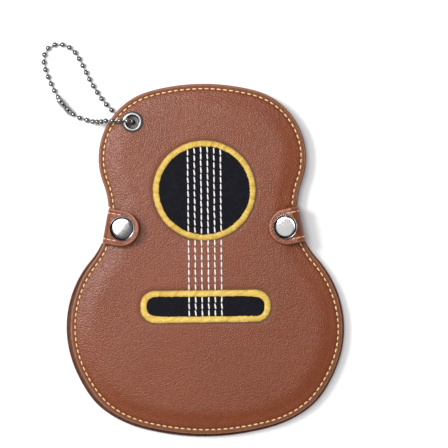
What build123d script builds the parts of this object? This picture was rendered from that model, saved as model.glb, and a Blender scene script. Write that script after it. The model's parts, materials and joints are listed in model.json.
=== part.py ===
from build123d import *
import math
import os

# Guitar-shaped leather pick holder, closed, lying on a table. Millimetres.
# The holder is drawn flat, with z = 0 under the back leather and +Y towards the
# guitar's head, and is then leant so that it rests on its foot and on its chain.

# Outline of the back: tangent arcs, mirrored about the Y axis
TOP_Y = 78.7
BOTTOM_Y = -78.8
CROWN_R, CROWN_HALF_ANGLE = 90.0, 15.0
UPPER_BOUT_R = 31.0
WAIST_R = 34.0
LOWER_BOUT_R = 46.5
FOOT_R, FOOT_HALF_ANGLE = 104.5, 15.5

# Layers, as heights above the underside of the back
BACK_T = 1.2
RIM_TOP = 2.2
PLATEAU_LOW, PLATEAU_TOP = 2.1, 3.1
LINING_LOW, LINING_TOP = 4.1, 4.9
COVER_TOP = 6.2
COVER_INSET = 0.5
RIM_WIDTH = 5.0
RIM_LAP = 0.5

# Seams: plain ribs where the rows of stitches run
SEAM_INSET = 3.1
SEAM_W, SEAM_H = 0.5, 0.25

# Slots for the picks, in rows across the inner panel: height on Y and slot centres on X
SLOT_ROWS = {
    58.4: [12.0],
    42.0: [-6.5, 26.0],
    25.6: [-16.5, 16.5],
    9.2: [-16.5, 16.5],
    -7.2: [-16.5, 16.5],
    -23.6: [-33.0, 0.0, 33.0],
    -40.0: [-33.0, 0.0, 33.0],
    -56.4: [-16.5, 16.5],
}
SLOT_L, SLOT_W = 26.5, 0.8
SLOT_FRAME_L, SLOT_FRAME_W = 28.5, 2.7
SLOT_THREAD_W, SLOT_THREAD_H = 0.4, 0.2

# Eyelets, one in the cover and one in the back, that the chain runs through
EYELET_X, EYELET_Y = -31.5, 61.9
BORE_R, BARREL_R, FLANGE_R = 2.75, 3.15, 4.75
LEATHER_HOLE_R = 3.2
FLANGE_T, BACK_FLANGE_T = 0.5, 0.4
FLANGE_ROUND_R = 0.16
WASHER_R, WASHER_T = 4.6, 0.35
WASHER_GAP = 0.05
EYELET_PAD_R = 5.5
EYELET_GAP = 0.6

# Embroidery on the cover
HOLE_Y, HOLE_R, HOLE_BORDER = 31.2, 22.9, 3.0
BRIDGE_Y, BRIDGE_L, BRIDGE_W, BRIDGE_CORNER_R = -20.3, 58.0, 14.4, 6.6
PATCH_T, PATCH_INSET = 0.35, 0.6
BORDER_H, BORDER_EDGE_R = 0.8, 0.3
STRING_PITCH, STRING_COUNT = 2.9, 6
STRING_W, STRING_H = 0.5, 0.3
STRING_GAP = 0.05

# The cover bends across here when its lower half is lifted
BEND_Y, BEND_GAP = -2.5, 0.3
BEND_AXIS_Z = 12.2

# Snap tabs: a strap of two plies that rises from the waist and folds over the cover.
# In a tab's own frame x points outwards from the fold, y runs along it.
FOLD_X, FOLD_Y, TAB_SPLAY = 43.6, 15.3, 8.0
TAB_W, PLY_T = 16.4, 1.1
STRAP_LOW = 8.8
RISER_LOW, RISER_TOP = 1.2, 10.6
LEG_START = -2.5
NOTCH_X, NOTCH_W, NOTCH_REACH = -2.75, 17.2, 8.0
ROOT_X, ROOT_L, ROOT_W, ROOT_T = -2.65, 8.0, 14.0, 0.5
LOWER_PIVOT_Z = 1.8
TAB_SEAM_Y, TAB_SEAM_START, TAB_SEAM_END = 5.8, -2.7, -6.4

# Press snaps, centred on the round end of each tab
SNAP_X = -7.6
CAP_R, CAP_T, CAP_EDGE_R = 5.4, 1.3, 0.5
SOCKET_R, SOCKET_BORE_R, SOCKET_T = 4.6, 2.6, 1.9
STUD_FLANGE_R, STUD_FLANGE_T = 3.3, 0.45
STUD_NECK_R, STUD_HEAD_R = 1.55, 1.8
STUD_HEAD_LOW, STUD_TOP, STUD_EDGE_R = 7.2, 8.2, 0.45
POST_R, POST_HOLE_R = 1.2, 1.3
POST_FLANGE_R, POST_FLANGE_T = 3.5, 0.5

# How the holder lies: raised towards the eyelet, over the chain that runs under it
LEAN, LEAN_HEADING = 1.225, 115.0

# Ball chain: a closed loop through both eyelets, lying on the table
BALL_R, BALL_PITCH, LINK_R = 1.2, 3.4, 0.32
COUPLING_L, COUPLING_R, COUPLING_BORE_R = 7.0, 1.6, 1.28
COUPLING_LIP, COUPLING_LIP_R, COUPLING_SLOT_W = 0.5, 0.6, 0.9
COUPLING_AFTER_BALL = 12
TABLE = BALL_R
CHAIN_ROUTE = [
    (-31.5, 61.9, 7.0),
    (-31.6, 61.95, 10.6),
    (-33.8, 62.1, 13.6),
    (-38.2, 62.2, 14.1),
    (-42.6, 62.3, 12.4),
    (-45.8, 62.0, 8.2),
    (-48.8, 62.2, 3.6),
    (-52.6, 63.3, TABLE),
    (-57.4, 64.9, TABLE),
    (-61.8, 69.0, TABLE),
    (-65.4, 74.0, TABLE),
    (-69.0, 81.5, TABLE),
    (-71.8, 90.0, TABLE),
    (-69.6, 96.2, TABLE),
    (-63.4, 97.8, TABLE),
    (-57.4, 94.6, TABLE),
    (-54.0, 88.2, TABLE),
    (-50.3, 80.2, TABLE),
    (-46.0, 73.2, TABLE),
    (-40.8, 67.0, TABLE),
    (-35.4, 63.2, TABLE),
    (-31.7, 61.85, 2.2),
    (-31.45, 61.9, 5.2),
]
ROUTE_SHARE = 0.45

# Cuts run this far past what they cut, and outline pieces meet within this gap
CUT_MARGIN = 1
JOIN_GAP = 0.001


def polar(centre, radius, angle):
    """The point at an angle, in degrees, on a circle."""
    turn = math.radians(angle)
    return centre + Vector(radius * math.cos(turn), radius * math.sin(turn))


def heading(start, end):
    """The angle of the line between two points, in degrees, from 0 to 360."""
    return math.degrees(math.atan2(end.Y - start.Y, end.X - start.X)) % 360


def bout_centres():
    """Centres of the outline's arcs on the right side, from the crown to the foot."""
    crown = Vector(0, TOP_Y - CROWN_R)
    upper = polar(crown, CROWN_R - UPPER_BOUT_R, 90 - CROWN_HALF_ANGLE)
    foot = Vector(0, BOTTOM_Y + FOOT_R)
    lower = polar(foot, FOOT_R - LOWER_BOUT_R, FOOT_HALF_ANGLE - 90)
    apart = (lower - upper).length
    to_upper = UPPER_BOUT_R + WAIST_R
    to_lower = LOWER_BOUT_R + WAIST_R
    along = (to_upper**2 - to_lower**2 + apart**2) / (2 * apart)
    across = math.sqrt(to_upper**2 - along**2)
    down = (lower - upper) / apart
    waist = upper + down * along + Vector(-down.Y, down.X) * across
    return crown, upper, waist, lower, foot


def outline(inset):
    """The guitar outline as a face, its edge moved in by the inset."""
    crown, upper, waist, lower, foot = bout_centres()
    shoulder = heading(upper, waist) - 360
    hip = heading(lower, waist)
    waist_start = heading(waist, upper)
    waist_end = heading(waist, lower)
    side = [
        CenterArc(upper, UPPER_BOUT_R - inset, shoulder, 90 - CROWN_HALF_ANGLE - shoulder),
        CenterArc(waist, WAIST_R + inset, waist_start, waist_end - waist_start),
        CenterArc(lower, LOWER_BOUT_R - inset, FOOT_HALF_ANGLE - 90, hip + 90 - FOOT_HALF_ANGLE),
    ]
    ends = [
        CenterArc(crown, CROWN_R - inset, 90 - CROWN_HALF_ANGLE, 2 * CROWN_HALF_ANGLE),
        CenterArc(foot, FOOT_R - inset, 270 - FOOT_HALF_ANGLE, 2 * FOOT_HALF_ANGLE),
    ]
    other_side = [edge.mirror(Plane.YZ) for edge in side]
    return Face(Wire.combine([*side, *ends, *other_side], tol=JOIN_GAP)[0])


def layer(face, low, high):
    """A flat face made into a sheet between two heights."""
    return Pos(0, 0, low) * extrude(face, amount=high - low)


def band(inset, width):
    """A band of the outline's shape, centred on the inset."""
    return outline(inset - width / 2) - outline(inset + width / 2)


def block(x, y, z):
    """A box between a lowest and a highest value on each axis."""
    size = (x[1] - x[0], y[1] - y[0], z[1] - z[0])
    centre = Pos((x[0] + x[1]) / 2, (y[0] + y[1]) / 2, (z[0] + z[1]) / 2)
    return centre * Box(*size)


def rod(radius, low, high):
    """An upright cylinder on the Z axis."""
    return Pos(0, 0, (low + high) / 2) * Cylinder(radius, high - low)


def tube(outer, inner, low, high):
    return rod(outer, low, high) - rod(inner, low - CUT_MARGIN, high + CUT_MARGIN)


TAB_FRAME = Location((FOLD_X, FOLD_Y, 0), (0, 0, TAB_SPLAY))
SNAP_FRAME = TAB_FRAME * Pos(SNAP_X, 0, 0)
EYELET_FRAME = Pos(EYELET_X, EYELET_Y, 0)


def both_sides(shape):
    """A shape of the right side with its mirror image."""
    return shape + shape.mirror(Plane.YZ)


def notches():
    """Room in the edges of every layer for the two risers."""
    reach = (NOTCH_X, NOTCH_X + NOTCH_REACH)
    room = block(reach, (-NOTCH_W / 2, NOTCH_W / 2), (-CUT_MARGIN, COVER_TOP + CUT_MARGIN))
    return both_sides(TAB_FRAME * room)


def post_holes():
    return both_sides(SNAP_FRAME * rod(POST_HOLE_R, -CUT_MARGIN, COVER_TOP + CUT_MARGIN))


def eyelet_hole():
    return EYELET_FRAME * rod(LEATHER_HOLE_R, -CUT_MARGIN, COVER_TOP + CUT_MARGIN)


def make_back():
    return layer(outline(0), 0, BACK_T) - notches() - eyelet_hole()


def tab_root():
    """The skived tail of a strap, sewn between the back and the slot panel."""
    depth = (ROOT_X - ROOT_L, ROOT_X)
    return TAB_FRAME * block(depth, (-ROOT_W / 2, ROOT_W / 2), (BACK_T, BACK_T + ROOT_T))


def make_slot_panel():
    """The inner panel: sewn flat at its rim, raised over the pick pockets, with its slots."""
    rim = layer(outline(COVER_INSET) - outline(RIM_WIDTH), BACK_T, RIM_TOP)
    plateau = layer(outline(RIM_WIDTH - RIM_LAP), PLATEAU_LOW, PLATEAU_TOP)
    pad = EYELET_FRAME * rod(EYELET_PAD_R, BACK_T, PLATEAU_TOP)
    panel = rim + plateau + pad
    slots = [
        Pos(x, y, PLATEAU_TOP) * Box(SLOT_L, SLOT_W, 2 * BACK_T)
        for y, row in SLOT_ROWS.items()
        for x in row
    ]
    return panel - slots - notches() - eyelet_hole() - both_sides(tab_root())


def slot_threads():
    """One stitched frame round each slot."""
    outside = Rectangle(SLOT_FRAME_L, SLOT_FRAME_W)
    inside = Rectangle(SLOT_FRAME_L - 2 * SLOT_THREAD_W, SLOT_FRAME_W - 2 * SLOT_THREAD_W)
    frame = layer(outside - inside, PLATEAU_TOP, PLATEAU_TOP + SLOT_THREAD_H)
    return [Pos(x, y, 0) * frame for y, row in SLOT_ROWS.items() for x in row]


def seam(low):
    """The seam's rib round a panel, broken at the tabs."""
    return layer(band(SEAM_INSET, SEAM_W), low, low + SEAM_H) - notches()


def back_seam():
    """The inner side of the back's seam, broken round the eyelet's pad."""
    return seam(RIM_TOP) - EYELET_FRAME * rod(EYELET_PAD_R + SEAM_W, 0, COVER_TOP)


def cut_at_bend(sheet, upper):
    """The part of a sheet on one side of the line where the cover bends."""
    span = 4 * LOWER_BOUT_R
    if upper:
        keep = block((-span, span), (BEND_Y + BEND_GAP / 2, span), (-span, span))
    else:
        keep = block((-span, span), (-span, BEND_Y - BEND_GAP / 2), (-span, span))
    return sheet & keep


def cover_sheet(low, high):
    return layer(outline(COVER_INSET), low, high) - notches() - eyelet_hole() - post_holes()


def eyelet(flange, barrel):
    """A flange and a barrel, each given as its lowest and highest z."""
    ring = tube(FLANGE_R, BORE_R, *flange)
    ring = fillet(ring.edges().filter_by(GeomType.CIRCLE).sort_by(SortBy.RADIUS)[-2:], FLANGE_ROUND_R)
    return EYELET_FRAME * (ring + tube(BARREL_R, BORE_R, *barrel))


def washer(low):
    return EYELET_FRAME * tube(WASHER_R, BARREL_R + WASHER_GAP, low, low + WASHER_T)


def hole_face(inset):
    return Pos(0, HOLE_Y) * Circle(HOLE_R - inset)


def bridge_face(inset):
    shape = RectangleRounded(BRIDGE_L - 2 * inset, BRIDGE_W - 2 * inset, BRIDGE_CORNER_R - inset)
    return Pos(0, BRIDGE_Y) * shape


def make_patch(face_at):
    """The twill patch, its edge hidden under the border."""
    return layer(face_at(PATCH_INSET), COVER_TOP, COVER_TOP + PATCH_T)


def make_border(face_at):
    """The satin-stitched band round a patch, rounded on top."""
    ring = layer(face_at(0) - face_at(HOLE_BORDER), COVER_TOP, COVER_TOP + BORDER_H)
    ring = fillet(ring.edges().group_by(Axis.Z)[-1], BORDER_EDGE_R)
    return ring - make_patch(face_at)


def string_ribs(y, low, keep=None):
    """The six strings' ribs between two Y values, on a surface at a height."""
    first = -STRING_PITCH * (STRING_COUNT - 1) / 2
    centres = [first + i * STRING_PITCH for i in range(STRING_COUNT)]
    half = STRING_W / 2
    ribs = [block((x - half, x + half), y, (low, low + STRING_H)) for x in centres]
    return [rib & keep for rib in ribs] if keep else ribs


def upper_strings():
    """Strings over the soundhole and on down to the bend."""
    hole = layer(hole_face(HOLE_BORDER + STRING_GAP), 0, 2 * COVER_TOP)
    across = string_ribs((HOLE_Y - HOLE_R, HOLE_Y + HOLE_R), COVER_TOP + PATCH_T, hole)
    below = (BEND_Y + BEND_GAP / 2, HOLE_Y - HOLE_R - STRING_GAP)
    return across + string_ribs(below, COVER_TOP)


def lower_strings():
    """Strings from the bend to the lower edge of the bridge's patch."""
    above = (BRIDGE_Y + BRIDGE_W / 2 + STRING_GAP, BEND_Y - BEND_GAP / 2)
    half = BRIDGE_W / 2 - HOLE_BORDER - STRING_GAP
    over = (BRIDGE_Y - half, BRIDGE_Y + half)
    return string_ribs(above, COVER_TOP) + string_ribs(over, COVER_TOP + PATCH_T)


def stud():
    """The male half of a snap, on the cover."""
    head = fillet(rod(STUD_HEAD_R, STUD_HEAD_LOW, STUD_TOP).edges().filter_by(GeomType.CIRCLE), STUD_EDGE_R)
    flange = rod(STUD_FLANGE_R, COVER_TOP, COVER_TOP + STUD_FLANGE_T)
    return SNAP_FRAME * (flange + rod(STUD_NECK_R, COVER_TOP, STUD_HEAD_LOW + STUD_EDGE_R) + head)


def stud_post():
    """The rivet that holds a stud, through the cover and its lining."""
    low = LINING_LOW - POST_FLANGE_T
    return SNAP_FRAME * (rod(POST_FLANGE_R, low, LINING_LOW) + rod(POST_R, low, COVER_TOP))


def riser_ply(inner):
    """One ply of the strap where it climbs past the edges of the layers."""
    x = (-2 * PLY_T, -PLY_T) if inner else (-PLY_T, 0)
    return TAB_FRAME * block(x, (-TAB_W / 2, TAB_W / 2), (RISER_LOW, RISER_TOP))


def leg_ply(inner):
    """One ply of the strap over the cover, with a round end about the snap."""
    low = STRAP_LOW if inner else STRAP_LOW + PLY_T
    end_tip = SNAP_X - TAB_W / 2
    blank = block((end_tip, LEG_START), (-TAB_W / 2, TAB_W / 2), (low, low + PLY_T))
    straight = block((SNAP_X, LEG_START), (-TAB_W / 2, TAB_W / 2), (low, low + PLY_T))
    end = Pos(SNAP_X, 0, 0) * rod(TAB_W / 2, low, low + PLY_T)
    hole = Pos(SNAP_X, 0, 0) * rod(POST_HOLE_R, 0, 2 * STRAP_LOW)
    return TAB_FRAME * (blank & (straight + end) - hole)


def tab_threads():
    """The two rows of stitches along a strap."""
    low = STRAP_LOW + 2 * PLY_T
    half = SEAM_W / 2
    x = (TAB_SEAM_END, TAB_SEAM_START)
    rows = [block(x, (y - half, y + half), (low, low + SEAM_H)) for y in (-TAB_SEAM_Y, TAB_SEAM_Y)]
    return [TAB_FRAME * row for row in rows]


def snap_cap():
    """The polished cap, with the post that joins it to the socket."""
    low = STRAP_LOW + 2 * PLY_T
    disc = rod(CAP_R, low, low + CAP_T)
    disc = fillet(disc.edges().group_by(Axis.Z)[-1], CAP_EDGE_R)
    return SNAP_FRAME * (disc + rod(POST_R, STRAP_LOW, low))


def snap_socket():
    return SNAP_FRAME * tube(SOCKET_R, SOCKET_BORE_R, STRAP_LOW - SOCKET_T, STRAP_LOW)


def flat_holder():
    """Every node but the chain, drawn flat."""
    back_washer_low = PLATEAU_TOP
    cover_washer_low = LINING_LOW - WASHER_T
    cover_barrel = (back_washer_low + WASHER_T + EYELET_GAP / 2, COVER_TOP + FLANGE_T)
    leather = cover_sheet(LINING_TOP, COVER_TOP)
    lining = cover_sheet(LINING_LOW, LINING_TOP)
    seam_on_cover = seam(COVER_TOP)
    nodes = {
        "back_leather": make_back(),
        "slot_panel": make_slot_panel(),
        "slot_threads": slot_threads(),
        "back_seam_thread": back_seam(),
        "back_eyelet": eyelet((-BACK_FLANGE_T, 0), (-BACK_FLANGE_T, PLATEAU_TOP + WASHER_T)),
        "back_eyelet_washer": washer(back_washer_low),
        "cover_leather_upper": cut_at_bend(leather, True),
        "cover_leather_lower": cut_at_bend(leather, False),
        "cover_lining_upper": cut_at_bend(lining, True),
        "cover_lining_lower": cut_at_bend(lining, False),
        "cover_seam_thread_upper": cut_at_bend(seam_on_cover, True),
        "cover_seam_thread_lower": cut_at_bend(seam_on_cover, False),
        "cover_eyelet": eyelet((COVER_TOP, COVER_TOP + FLANGE_T), cover_barrel),
        "cover_eyelet_washer": washer(cover_washer_low),
        "soundhole_patch": make_patch(hole_face),
        "soundhole_border": make_border(hole_face),
        "bridge_patch": make_patch(bridge_face),
        "bridge_border": make_border(bridge_face),
        "string_threads_upper": upper_strings(),
        "string_threads_lower": lower_strings(),
    }
    paired = {
        "tab_root": tab_root(),
        "tab_outer_base": riser_ply(False),
        "tab_inner_base": riser_ply(True),
        "tab_outer_end": leg_ply(False),
        "tab_inner_end": leg_ply(True),
        "tab_thread": tab_threads(),
        "snap_cap": snap_cap(),
        "snap_socket": snap_socket(),
        "stud": stud(),
        "stud_post": stud_post(),
    }
    for name, shape in paired.items():
        solids = as_solids(shape)
        nodes[f"right_{name}"] = solids
        nodes[f"left_{name}"] = [solid.mirror(Plane.YZ) for solid in solids]
    return nodes


def as_solids(shape):
    """The separate solids of a shape or of a list of shapes."""
    pieces = shape if isinstance(shape, (list, tuple)) else [shape]
    return [solid for piece in pieces for solid in piece.solids()]


def stand(nodes):
    """The lean and shift that put the flat holder on the table, centred on the origin."""
    towards = polar(Vector(0, 0), 1, LEAN_HEADING)
    hinge = Axis((0, 0, 0), (towards.Y, -towards.X, 0))
    leant = Compound([solid.rotate(hinge, LEAN) for solids in nodes.values() for solid in solids])
    box = leant.bounding_box()
    shift = Vector(-box.center().X, -box.center().Y, -box.min.Z)
    return hinge, shift


def chain_line():
    """The chain's centreline: straight runs joined by arcs as large as the runs allow."""
    points = [Vector(*p) for p in CHAIN_ROUTE]
    radii = []
    for before, at, after in zip(points, points[1:], points[2:]):
        run = min((at - before).length, (after - at).length)
        turn = math.radians((at - before).get_angle(after - at))
        radii.append(ROUTE_SHARE * run / math.tan(turn / 2))
    print("chain route: least radius", round(min(radii), 1), "mm")
    return FilletPolyline(*points, radius=radii)


def link(start, end):
    """The short wire between two balls, ending on their surfaces."""
    middle = Plane(origin=(start + end) / 2, z_dir=end - start)
    wire = middle.location * Cylinder(LINK_R, (end - start).length - BALL_R)
    return wire - Pos(*start) * Sphere(BALL_R) - Pos(*end) * Sphere(BALL_R)


def coupling(start, end):
    """The slotted sleeve that closes the loop round the chain's two end balls."""
    middle = Plane(origin=(start + end) / 2, x_dir=(0, 0, 1), z_dir=end - start)
    half = COUPLING_L / 2
    sleeve = rod(COUPLING_R, -half, half)
    sleeve -= rod(COUPLING_BORE_R, COUPLING_LIP - half, half - COUPLING_LIP)
    sleeve -= rod(COUPLING_LIP_R, -half - CUT_MARGIN, half + CUT_MARGIN)
    slot_end = half - 2 * COUPLING_LIP
    half_slot = COUPLING_SLOT_W / 2
    sleeve -= block((0, 2 * COUPLING_R), (-half_slot, half_slot), (-slot_end, slot_end))
    return middle.location * sleeve


def chain():
    """The balls at even steps along the line, the wires between them and the coupling."""
    line = chain_line()
    count = int(line.length // BALL_PITCH) + 1
    step = BALL_PITCH / line.length
    centres = [line.position_at(i * step) for i in range(count)]
    pairs = list(zip(centres, centres[1:]))
    closed = pairs.pop(COUPLING_AFTER_BALL)
    print("chain line", round(line.length, 1), "mm,", count, "balls")
    return {
        "chain_balls": [Pos(*c) * Sphere(BALL_R) for c in centres],
        "chain_links": [link(*pair) for pair in pairs],
        "chain_coupling": [coupling(*closed)],
    }


def joint_points(hinge, shift):
    """Each joint's point and axis after the holder is stood on the table."""
    fold_mid_x = -PLY_T
    strap_mid_z = STRAP_LOW + PLY_T
    flat = {
        "cover_fold": (Vector(0, BEND_Y, BEND_AXIS_Z), Vector(-1, 0, 0)),
    }
    for name, z in (("fold", LOWER_PIVOT_Z), ("turn", strap_mid_z)):
        at = (TAB_FRAME * Pos(fold_mid_x, 0, z)).position
        along = polar(Vector(0, 0), 1, 90 + TAB_SPLAY)
        flat[f"right_tab_{name}"] = (at, along)
        flat[f"left_tab_{name}"] = (Vector(-at.X, at.Y, at.Z), Vector(along.X, -along.Y, 0))
    for name, (at, along) in flat.items():
        at = at.rotate(hinge, LEAN) + shift
        along = along.rotate(hinge, LEAN)
        print(name, [round(v, 4) for v in at], [round(v, 7) for v in along])


def main():
    os.makedirs("parts", exist_ok=True)
    nodes = {name: as_solids(shape) for name, shape in flat_holder().items()}
    hinge, shift = stand(nodes)
    for name, solids in nodes.items():
        placed = [solid.rotate(hinge, LEAN).moved(Location(shift)) for solid in solids]
        export_step(Compound(placed), f"parts/{name}.step")
    for name, shapes in chain().items():
        export_step(Compound(as_solids(shapes)), f"parts/{name}.step")
    print("shift", [round(v, 4) for v in shift])
    joint_points(hinge, shift)


main()
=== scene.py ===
import json
import math
import random

import bpy
import numpy as np
from mathutils import Matrix, Vector, geometry, kdtree


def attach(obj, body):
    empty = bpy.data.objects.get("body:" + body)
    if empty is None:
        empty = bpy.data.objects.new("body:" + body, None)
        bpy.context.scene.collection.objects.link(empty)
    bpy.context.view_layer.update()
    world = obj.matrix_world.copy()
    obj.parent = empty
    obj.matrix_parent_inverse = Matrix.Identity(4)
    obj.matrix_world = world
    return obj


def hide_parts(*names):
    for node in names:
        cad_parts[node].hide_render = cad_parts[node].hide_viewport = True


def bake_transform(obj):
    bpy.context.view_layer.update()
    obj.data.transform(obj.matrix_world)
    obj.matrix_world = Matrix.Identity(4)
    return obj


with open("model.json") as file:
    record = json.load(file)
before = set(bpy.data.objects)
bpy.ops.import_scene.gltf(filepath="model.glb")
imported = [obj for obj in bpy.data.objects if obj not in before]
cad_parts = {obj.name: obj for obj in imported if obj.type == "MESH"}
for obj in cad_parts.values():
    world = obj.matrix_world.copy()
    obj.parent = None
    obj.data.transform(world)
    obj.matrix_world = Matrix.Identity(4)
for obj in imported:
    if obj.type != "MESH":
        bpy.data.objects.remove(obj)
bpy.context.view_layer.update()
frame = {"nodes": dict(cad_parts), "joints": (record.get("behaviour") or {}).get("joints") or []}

# The holder is drawn flat in millimetres, as in the CAD design, and then leant with it.
MM = 0.001
LEAN, LEAN_HEADING = math.radians(1.225), math.radians(115)
BEND_Y, BEND_AXIS_Z = -2.5, 12.2

# Outline of the back: tangent arcs, mirrored about the Y axis
TOP_Y, BOTTOM_Y = 78.7, -78.8
CROWN_R, CROWN_HALF_ANGLE = 90.0, 15.0
UPPER_BOUT_R, WAIST_R, LOWER_BOUT_R = 31.0, 34.0, 46.5
FOOT_R, FOOT_HALF_ANGLE = 104.5, 15.5
OUTLINE_STEP = 0.42

# Layers, as heights above the underside of the back
BACK_T = 1.2
PANEL_T, RIM_TOP, PLATEAU_RISE, PLATEAU_INSET = 0.95, 2.2, 0.9, 6.0
LEATHER_T, LINING_T, COVER_TOP = 1.25, 0.75, 6.2
COVER_TOP_INSET, COVER_FOOT_INSET, COVER_SHIFT, PANEL_INSET = 0.45, 1.55, 0.6, 0.35
SWAY, FOOT_CORNER = 0.75, 1.3
EDGE_SAG, SAG_WIDTH = 1.15, 11.0
SEAM_INSET, BACK_SEAM_INSET = 1.95, 3.2
SEAM_PITCH, SEAM_DASH, THREAD_R, BACK_THREAD_R = 2.72, 2.1, 0.30, 0.24

# Tabs, in a frame with x outwards from the fold and y along it
FOLD_X, FOLD_Y, TAB_SPLAY = 43.6, 16.2, math.radians(11)
TAB_SHIFT = -0.4
TAB_HALF_W, STRAP_HALF_T, STRAP_MID_Z = 7.9, 1.08, 9.9
NOTCH_X, NOTCH_HALF_W, NOTCH_EASE = -2.75, 7.98, 0.25
SNAP_X = -7.6
TIP_REACH, TIP_ROUND = 7.6, 8.6
RIGHT_TILT = -0.30

EYELET, EYELET_HOLE_R = Vector((-31.5, 61.9)), 2.95
HOLE_Y, HOLE_R, HOLE_SQUASH, BORDER_W = 31.2, 22.9, 0.97, 3.0
BRIDGE_Y, BRIDGE_L, BRIDGE_W, BRIDGE_CORNER_R = -20.3, 58.0, 14.4, 6.6
STRING_PITCH, STRING_COUNT = 2.9, 6
STRING_STITCH, STRING_DASH, STRING_R = 3.08, 2.95, 0.34

SLOT_ROWS = {
    58.4: [12.0],
    42.0: [-6.5, 26.0],
    25.6: [-16.5, 16.5],
    9.2: [-16.5, 16.5],
    -7.2: [-16.5, 16.5],
    -23.6: [-33.0, 0.0, 33.0],
    -40.0: [-33.0, 0.0, 33.0],
    -56.4: [-16.5, 16.5],
}
SLOT_L, SLOT_W = 26.5, 0.7
SLOT_FRAME_L, SLOT_FRAME_W = 28.5, 2.7
SLOT_STITCH, SLOT_DASH, SLOT_THREAD_R = 2.2, 1.65, 0.2


def stand_matrix():
    """From the flat drawing in millimetres to the frame in metres."""
    towards = Vector((math.cos(LEAN_HEADING), math.sin(LEAN_HEADING), 0))
    turn = Matrix.Rotation(LEAN, 4, Vector((towards.y, -towards.x, 0)))
    fold = next(j for j in frame["joints"] if j["name"] == "cover_fold")
    flat = Vector((0, BEND_Y, BEND_AXIS_Z)) * MM
    shift = Vector(fold["pos_m"]) - turn @ flat
    return Matrix.Translation(shift) @ turn @ Matrix.Scale(MM, 4)


STAND = stand_matrix()


# ---------------------------------------------------------------- materials

class Shader:
    """A node tree with a Principled surface, built up by short calls."""

    def __init__(self, name, color, roughness, metallic=0.0):
        self.material = bpy.data.materials.new(name)
        self.material.use_nodes = True
        self.nodes = self.material.node_tree.nodes
        self.links = self.material.node_tree.links
        self.surface = self.nodes["Principled BSDF"]
        self.set(self.surface, {"Base Color": (*color, 1), "Roughness": roughness, "Metallic": metallic})
        self.coords = self.nodes.new("ShaderNodeTexCoord").outputs["Object"]

    def set(self, node, values):
        for key, value in values.items():
            node.inputs[key].default_value = value

    def node(self, kind, links=None, values=None, **options):
        made = self.nodes.new(kind)
        for key, value in options.items():
            setattr(made, key, value)
        self.set(made, values or {})
        for key, source in (links or {}).items():
            self.links.new(source, made.inputs[key])
        return made

    def noise(self, scale, detail, roughness=0.5):
        values = {"Scale": scale, "Detail": detail, "Roughness": roughness, "Distortion": 0.0}
        return self.node("ShaderNodeTexNoise", {"Vector": self.coords}, values).outputs["Fac"]

    def cells(self, scale, feature="F1", smoothness=None):
        made = self.node("ShaderNodeTexVoronoi", {"Vector": self.coords}, {"Scale": scale}, feature=feature)
        if smoothness is not None:
            made.inputs["Smoothness"].default_value = smoothness
        return made.outputs["Distance"]

    def remap(self, source, low, high, to_low=0.0, to_high=1.0):
        values = {"From Min": low, "From Max": high, "To Min": to_low, "To Max": to_high}
        return self.node("ShaderNodeMapRange", {"Value": source}, values).outputs["Result"]

    def blend_color(self, factor, a, b):
        made = self.nodes.new("ShaderNodeMix")
        made.data_type = "RGBA"
        self.links.new(factor, made.inputs[0])
        for socket, color in ((made.inputs[6], a), (made.inputs[7], b)):
            if isinstance(color, tuple):
                socket.default_value = (*color, 1)
            else:
                self.links.new(color, socket)
        return made.outputs[2]

    def attribute(self, name):
        return self.node("ShaderNodeAttribute", attribute_name=name).outputs["Fac"]

    def math(self, operation, a, b):
        made = self.nodes.new("ShaderNodeMath")
        made.operation = operation
        for socket, value in zip(made.inputs, (a, b)):
            if isinstance(value, (int, float)):
                socket.default_value = value
            else:
                self.links.new(value, socket)
        return made.outputs[0]

    def bump(self, layers):
        """Layers of (height source, strength, distance in metres), the first one lowest."""
        normal = None
        for height, strength, distance in layers:
            links = {"Height": height}
            if normal is not None:
                links["Normal"] = normal
            values = {"Strength": strength, "Distance": distance}
            normal = self.node("ShaderNodeBump", links, values).outputs["Normal"]
        self.links.new(normal, self.surface.inputs["Normal"])

    def feed(self, key, source):
        self.links.new(source, self.surface.inputs[key])


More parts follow.
